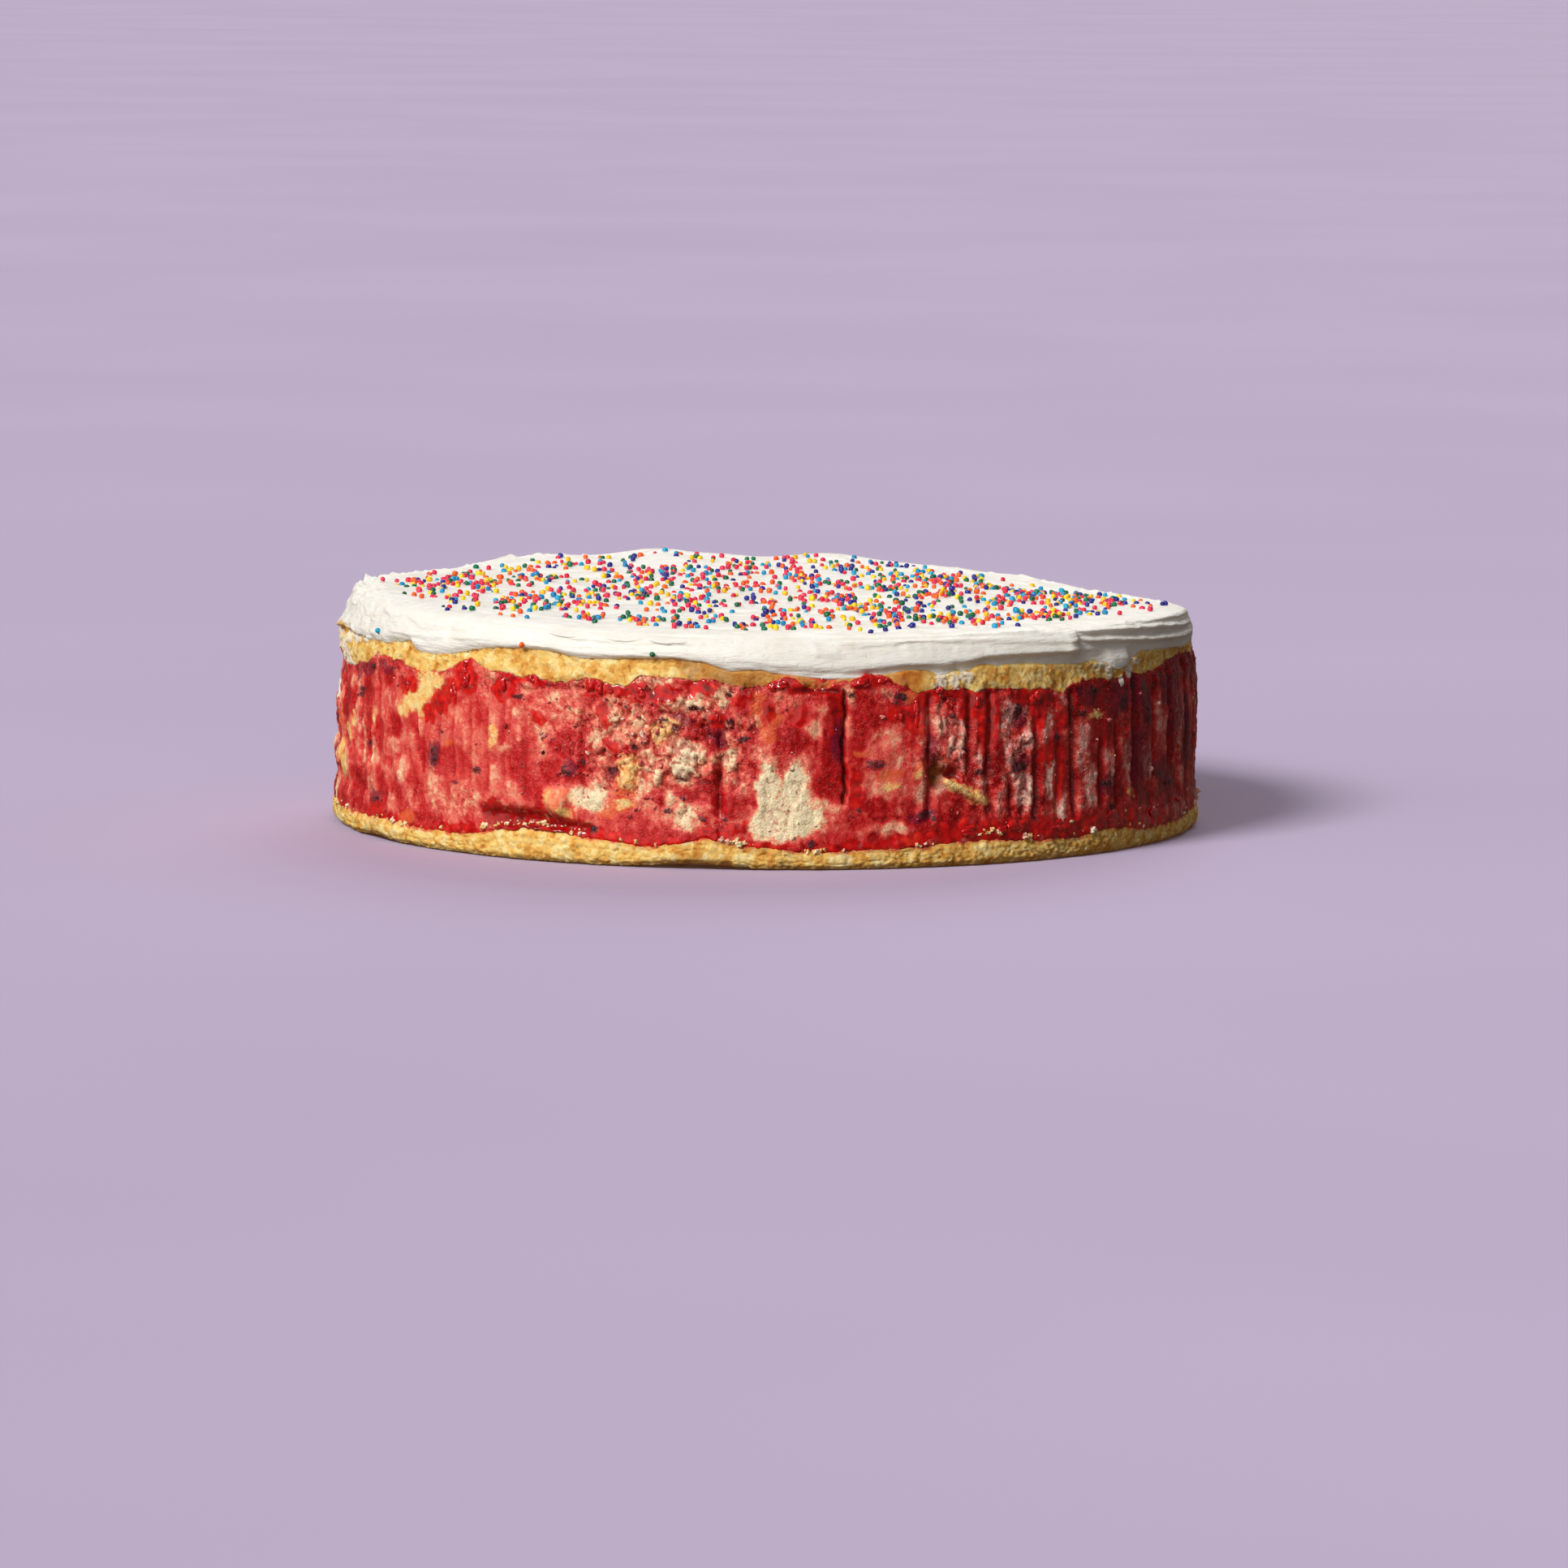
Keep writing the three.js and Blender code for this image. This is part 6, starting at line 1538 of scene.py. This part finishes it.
def sponge_finish():
    f = Finish("golden_sponge")
    n1, n2 = f.noise(1.2, 3), f.noise(0.5, 2)
    pulled = plus_vector(f, f.where, f.noise_colour(1.2), 0.4)
    one = f.tone(1.5, pulled)
    v = plus(f, f.noise(5.0, 3), near(f, n1, 0.28), near(f, n2, 0.1), near(f, one, 0.34), near(f, f.noise(2.8, 2), 0.6))
    base = f.ramp(v, [(0.1, colour(194, 122, 46)), (0.32, colour(227, 169, 82)), (0.52, colour(241, 201, 114)), (0.8, colour(251, 230, 170))])
    brown = f.span(plus(f, f.point("brown"), near(f, n1, 0.5)), 0.25, 0.95)
    base = f.mix(f.math("MULTIPLY", brown, 0.75), base, f.ramp(f.noise(2.5, 2), [(0.3, colour(150, 84, 36)), (0.7, colour(200, 134, 62))]))
    wet = f.point("wet")
    base = f.mix(f.math("MULTIPLY", wet, 0.8), base, f.ramp(plus(f, f.noise(3.0, 3), near(f, n1, 0.5)), [(0.3, colour(166, 68, 26)), (0.5, colour(206, 118, 42)), (0.75, colour(238, 162, 58))]))
    stain = f.span(plus(f, f.point("stain"), near(f, n1, 0.6), near(f, n2, 0.3), near(f, one, 0.3)), 0.4, 0.95)
    base = f.mix(f.math("MULTIPLY", f.span(stain, 0.0, 0.5), 0.5), base, colour(244, 160, 112))
    base = f.mix(f.math("MULTIPLY", f.span(stain, 0.45, 1.0), 0.7), base, colour(216, 62, 44))
    cream = f.span(plus(f, f.point("icy"), near(f, n1, 0.7), near(f, one, 0.5), near(f, n2, 0.4)), 0.35, 0.6)
    base = f.mix(f.math("MULTIPLY", cream, 0.9), base, colour(240, 229, 208))
    # Painted shade: darker in the pores and the gaps between crumbs.
    painted_shading = f.span(f.point("painted_shading"), 0.05, 0.9)
    base = f.mix(f.math("MULTIPLY", painted_shading, 0.5), base, f.mix(1.0, base, colour(204, 132, 60), "MULTIPLY"))
    f.set(Base_Color=base, Roughness=f.math("MAXIMUM", plus(f, f.math("MULTIPLY", wet, -0.5), 0.75, near(f, n2, 0.2)), 0.15))
    h = plus(f, f.math("MULTIPLY", n2, 0.7), f.math("MULTIPLY", f.cell(1.15, pulled), -0.9), f.math("MULTIPLY", f.noise(0.28, 1), 0.3))
    h = f.math("MULTIPLY", h, f.math("SUBTRACT", 1.0, f.math("MULTIPLY", wet, 0.8)))
    f.set(Normal=f.bump(h, 0.18, 0.85), Specular_IOR_Level=0.15)
    f.soft(0.35, (1.0, 0.62, 0.28), 1.8)
    return f.m


def icing_finish():
    f = Finish("white_icing")
    lay = f.stretch(1, 1, 5)
    v = plus(f, f.noise(14, 2), near(f, f.noise(3, 2), 0.3))
    base = f.ramp(v, [(0.3, colour(240, 237, 229)), (0.5, colour(247, 245, 238)), (0.75, colour(252, 250, 245))])
    crumbs = f.span(plus(f, f.point("crumby"), near(f, f.noise(2.4, 3), 0.9), near(f, f.noise(0.8, 2), 0.4)), 0.42, 0.75)
    base = f.mix(crumbs, base, f.ramp(f.noise(2.2, 2), [(0.35, colour(240, 178, 96)), (0.55, colour(244, 212, 146)), (0.75, colour(250, 234, 196))]))
    f.set(Base_Color=base, Roughness=plus(f, 0.46, near(f, f.noise(2.0, 2), 0.12)))
    h = plus(f, f.math("MULTIPLY", f.noise(2.6, 3, at=lay), 0.8), f.math("MULTIPLY", f.noise(0.7, 2), 0.12), f.math("MULTIPLY", f.span(f.noise(1.1, 1), 0.28, 0.36), 0.15))
    f.set(Normal=f.bump(h, 0.4, 0.85), Specular_IOR_Level=0.35)
    f.soft(0.45, (1.0, 0.86, 0.72), 1.3)
    return f.m


def jam_finish():
    f = Finish("red_jam")
    base = f.ramp(plus(f, f.noise(1.6, 2), near(f, f.point("each"), 0.15)), [(0.3, colour(176, 0, 6)), (0.55, colour(214, 6, 10)), (0.75, colour(238, 34, 26))])
    f.set(Base_Color=base, Roughness=plus(f, 0.1, f.math("MULTIPLY", f.noise(1.0, 1), 0.08)), Specular_IOR_Level=0.5, Coat_Weight=0.8, Coat_Roughness=0.04)
    f.set(Normal=f.bump(f.noise(1.4, 1), 0.06, 0.6))
    f.soft(0.3, (1.0, 0.12, 0.06), 1.4)
    return f.m


def crumb_finish(name, stops, rough):
    f = Finish(name)
    n = f.noise(0.6, 2)
    base = f.ramp(plus(f, f.noise(1.6, 2), near(f, n, 0.4), near(f, f.point("each"), 0.45)), stops)
    f.set(Base_Color=base, Roughness=plus(f, rough, near(f, n, 0.2)), Normal=f.bump(plus(f, n, f.math("MULTIPLY", f.cell(0.5), -0.6)), 0.15, 0.9))
    f.soft(0.15, (1.0, 0.5, 0.3), 0.8)
    return f.m


def sprinkle_finish(name, a, b):
    f = Finish("sugar_" + name)
    n = f.noise(0.8, 2)
    base = f.ramp(plus(f, n, near(f, f.point("each"), 0.5)), [(0.25, colour(*a)), (0.75, colour(*b))])
    f.set(Base_Color=base, Roughness=plus(f, 0.22, near(f, n, 0.12)), Specular_IOR_Level=0.5, Normal=f.bump(f.noise(0.3, 1), 0.03, 0.6))
    f.soft(0.05, (1.0, 0.5, 0.3), 0.4)
    return f.m


# ------------------------------------------------------------------ the cake

def wear(ob, material, slot, *nodes):
    ob.data.materials.append(material)
    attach(ob, "root")
    for n in nodes:
        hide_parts(n)
    return ob


sponge = sponge_finish()
icing = icing_finish()
jam = jam_finish()
side = Surface(wall_t, f_z, f_r, F_ROWS)
wear(make_filling(), filling_finish(), "filling", "filling")
wear(make_bottom(), sponge, "sponge_bottom", "bottom_layer")
wear(make_top(), sponge, "sponge_top", "top_layer")
wear(make_icing(), icing, "icing", "icing")
wear(make_blobs("jam_beads", BEADS, side, 400, 0.5, 0.0, BALL2), jam, "jelly")
golden, pale, pink, dark = strew_crumbs(side)
wear(many("crumbs_golden", golden), crumb_finish("golden_crumb", [(0.2, colour(232, 176, 104)), (0.5, colour(248, 214, 148)), (0.8, colour(254, 238, 194))], 0.7), "pale_crumb")
wear(many("crumbs_pale", pale), crumb_finish("pale_crumb", [(0.25, colour(236, 178, 156)), (0.5, colour(244, 208, 184)), (0.8, colour(252, 238, 216))], 0.7), "pale_crumb")
wear(many("crumbs_pink", pink), crumb_finish("pink_crumb", [(0.2, colour(176, 34, 44)), (0.5, colour(214, 92, 92)), (0.85, colour(240, 164, 152))], 0.5), "filling")
wear(many("crumbs_dark", dark), crumb_finish("dark_crumb", [(0.3, colour(30, 14, 22)), (0.7, colour(78, 46, 58))], 0.45), "dark_crumb")
TINTS = {"red": ((222, 14, 62), (238, 56, 96)), "orange": ((244, 78, 16), (254, 112, 34)), "yellow": ((250, 190, 0), (255, 224, 34)),
         "green": ((0, 88, 60), (0, 122, 78)), "blue": ((0, 130, 192), (24, 176, 218)), "navy": ((26, 24, 124), (48, 46, 158))}
for name, ob in make_sprinkles().items():
    wear(ob, sprinkle_finish(name, *TINTS[name]), "sprinkle_" + name)


# ------------------------------------------------------------------ floor, light and camera

def make_floor():
    me = bpy.data.meshes.new("floor")
    n = 96
    ang = [TAU * k / n for k in range(n)]
    vs = [(40 * math.cos(a), 40 * math.sin(a), -0.0001) for a in ang]
    me.from_pydata(vs, [], [list(range(n))])
    ob = bpy.data.objects.new("floor", me)
    bpy.context.scene.collection.objects.link(ob)
    f = Finish("plain_floor")
    base = f.ramp(f.noise(400, 2), [(0.3, colour(192, 178, 210)), (0.7, colour(197, 183, 215))])
    f.set(Base_Color=base, Roughness=0.9, Specular_IOR_Level=0.1)
    me.materials.append(f.m)
    ob.visible_diffuse = ob.visible_glossy = False  # its bounce would tint the cake


make_floor()


def sun(name, azimuth, elevation, strength, spread, tint):
    light = bpy.data.lights.new(name, "SUN")
    light.energy, light.angle, light.color = strength, math.radians(spread), tint
    ob = bpy.data.objects.new(name, light)
    bpy.context.scene.collection.objects.link(ob)
    a, e = math.radians(azimuth), math.radians(elevation)
    from mathutils import Vector
    to = Vector((-math.sin(a) * math.cos(e), math.cos(a) * math.cos(e), -math.sin(e)))
    ob.rotation_euler = to.to_track_quat("-Z", "Y").to_euler()


sun("key", -40, 39, 2.7, 20, (1.0, 0.968, 0.916))
sun("front", -30, 20, 0.8, 80, (1.0, 0.97, 0.93))
sun("fill", 168, 36, 0.95, 35, (1.0, 0.965, 0.93))


def studio():
    """Dim light from all round, nearly neutral above and a little warmer below."""
    w = bpy.data.worlds.new("studio")
    w.use_nodes = True
    nodes, links = w.node_tree.nodes, w.node_tree.links
    way = nodes.new("ShaderNodeTexCoord")
    part = nodes.new("ShaderNodeSeparateXYZ")
    links.new(way.outputs["Generated"], part.inputs[0])
    span = nodes.new("ShaderNodeMapRange")
    span.interpolation_type = "SMOOTHSTEP"
    span.inputs[1].default_value, span.inputs[2].default_value = -0.12, 0.12
    links.new(part.outputs["Z"], span.inputs[0])
    shade = nodes.new("ShaderNodeMix")
    shade.data_type = "RGBA"
    links.new(span.outputs[0], shade.inputs[0])
    shade.inputs[6].default_value = (0.12, 0.082, 0.070, 1.0)
    shade.inputs[7].default_value = (0.122, 0.113, 0.110, 1.0)
    links.new(shade.outputs[2], nodes["Background"].inputs[0])
    bpy.context.scene.world = w


studio()

scene = bpy.context.scene
scene.view_settings.view_transform = "Standard"
scene.view_settings.look = "None"

# The camera looks down on the cake by 6.6 degrees from two metres away.
PITCH, ROLL = math.radians(6.63), 0.0065
cam = bpy.data.cameras.new("camera")
cam.sensor_width, cam.lens = 36.0, 176.8
cam.clip_start, cam.clip_end = 0.01, 100.0
cam_ob = bpy.data.objects.new("camera", cam)
scene.collection.objects.link(cam_ob)
right, up = np.array([1.0, 0, 0]), np.array([0, math.sin(PITCH), math.cos(PITCH)])
ahead = np.array([0, math.cos(PITCH), -math.sin(PITCH)])
c, s = math.cos(ROLL), math.sin(ROLL)
r2, u2 = c * right + s * up, -s * right + c * up
m = Matrix.Identity(4)
for k in range(3):
    m[k][0], m[k][1], m[k][2] = r2[k], u2[k], -ahead[k]
m[0][3], m[1][3], m[2][3] = 0.0047, -2.056, 0.2478
cam_ob.matrix_world = m
scene.camera = cam_ob
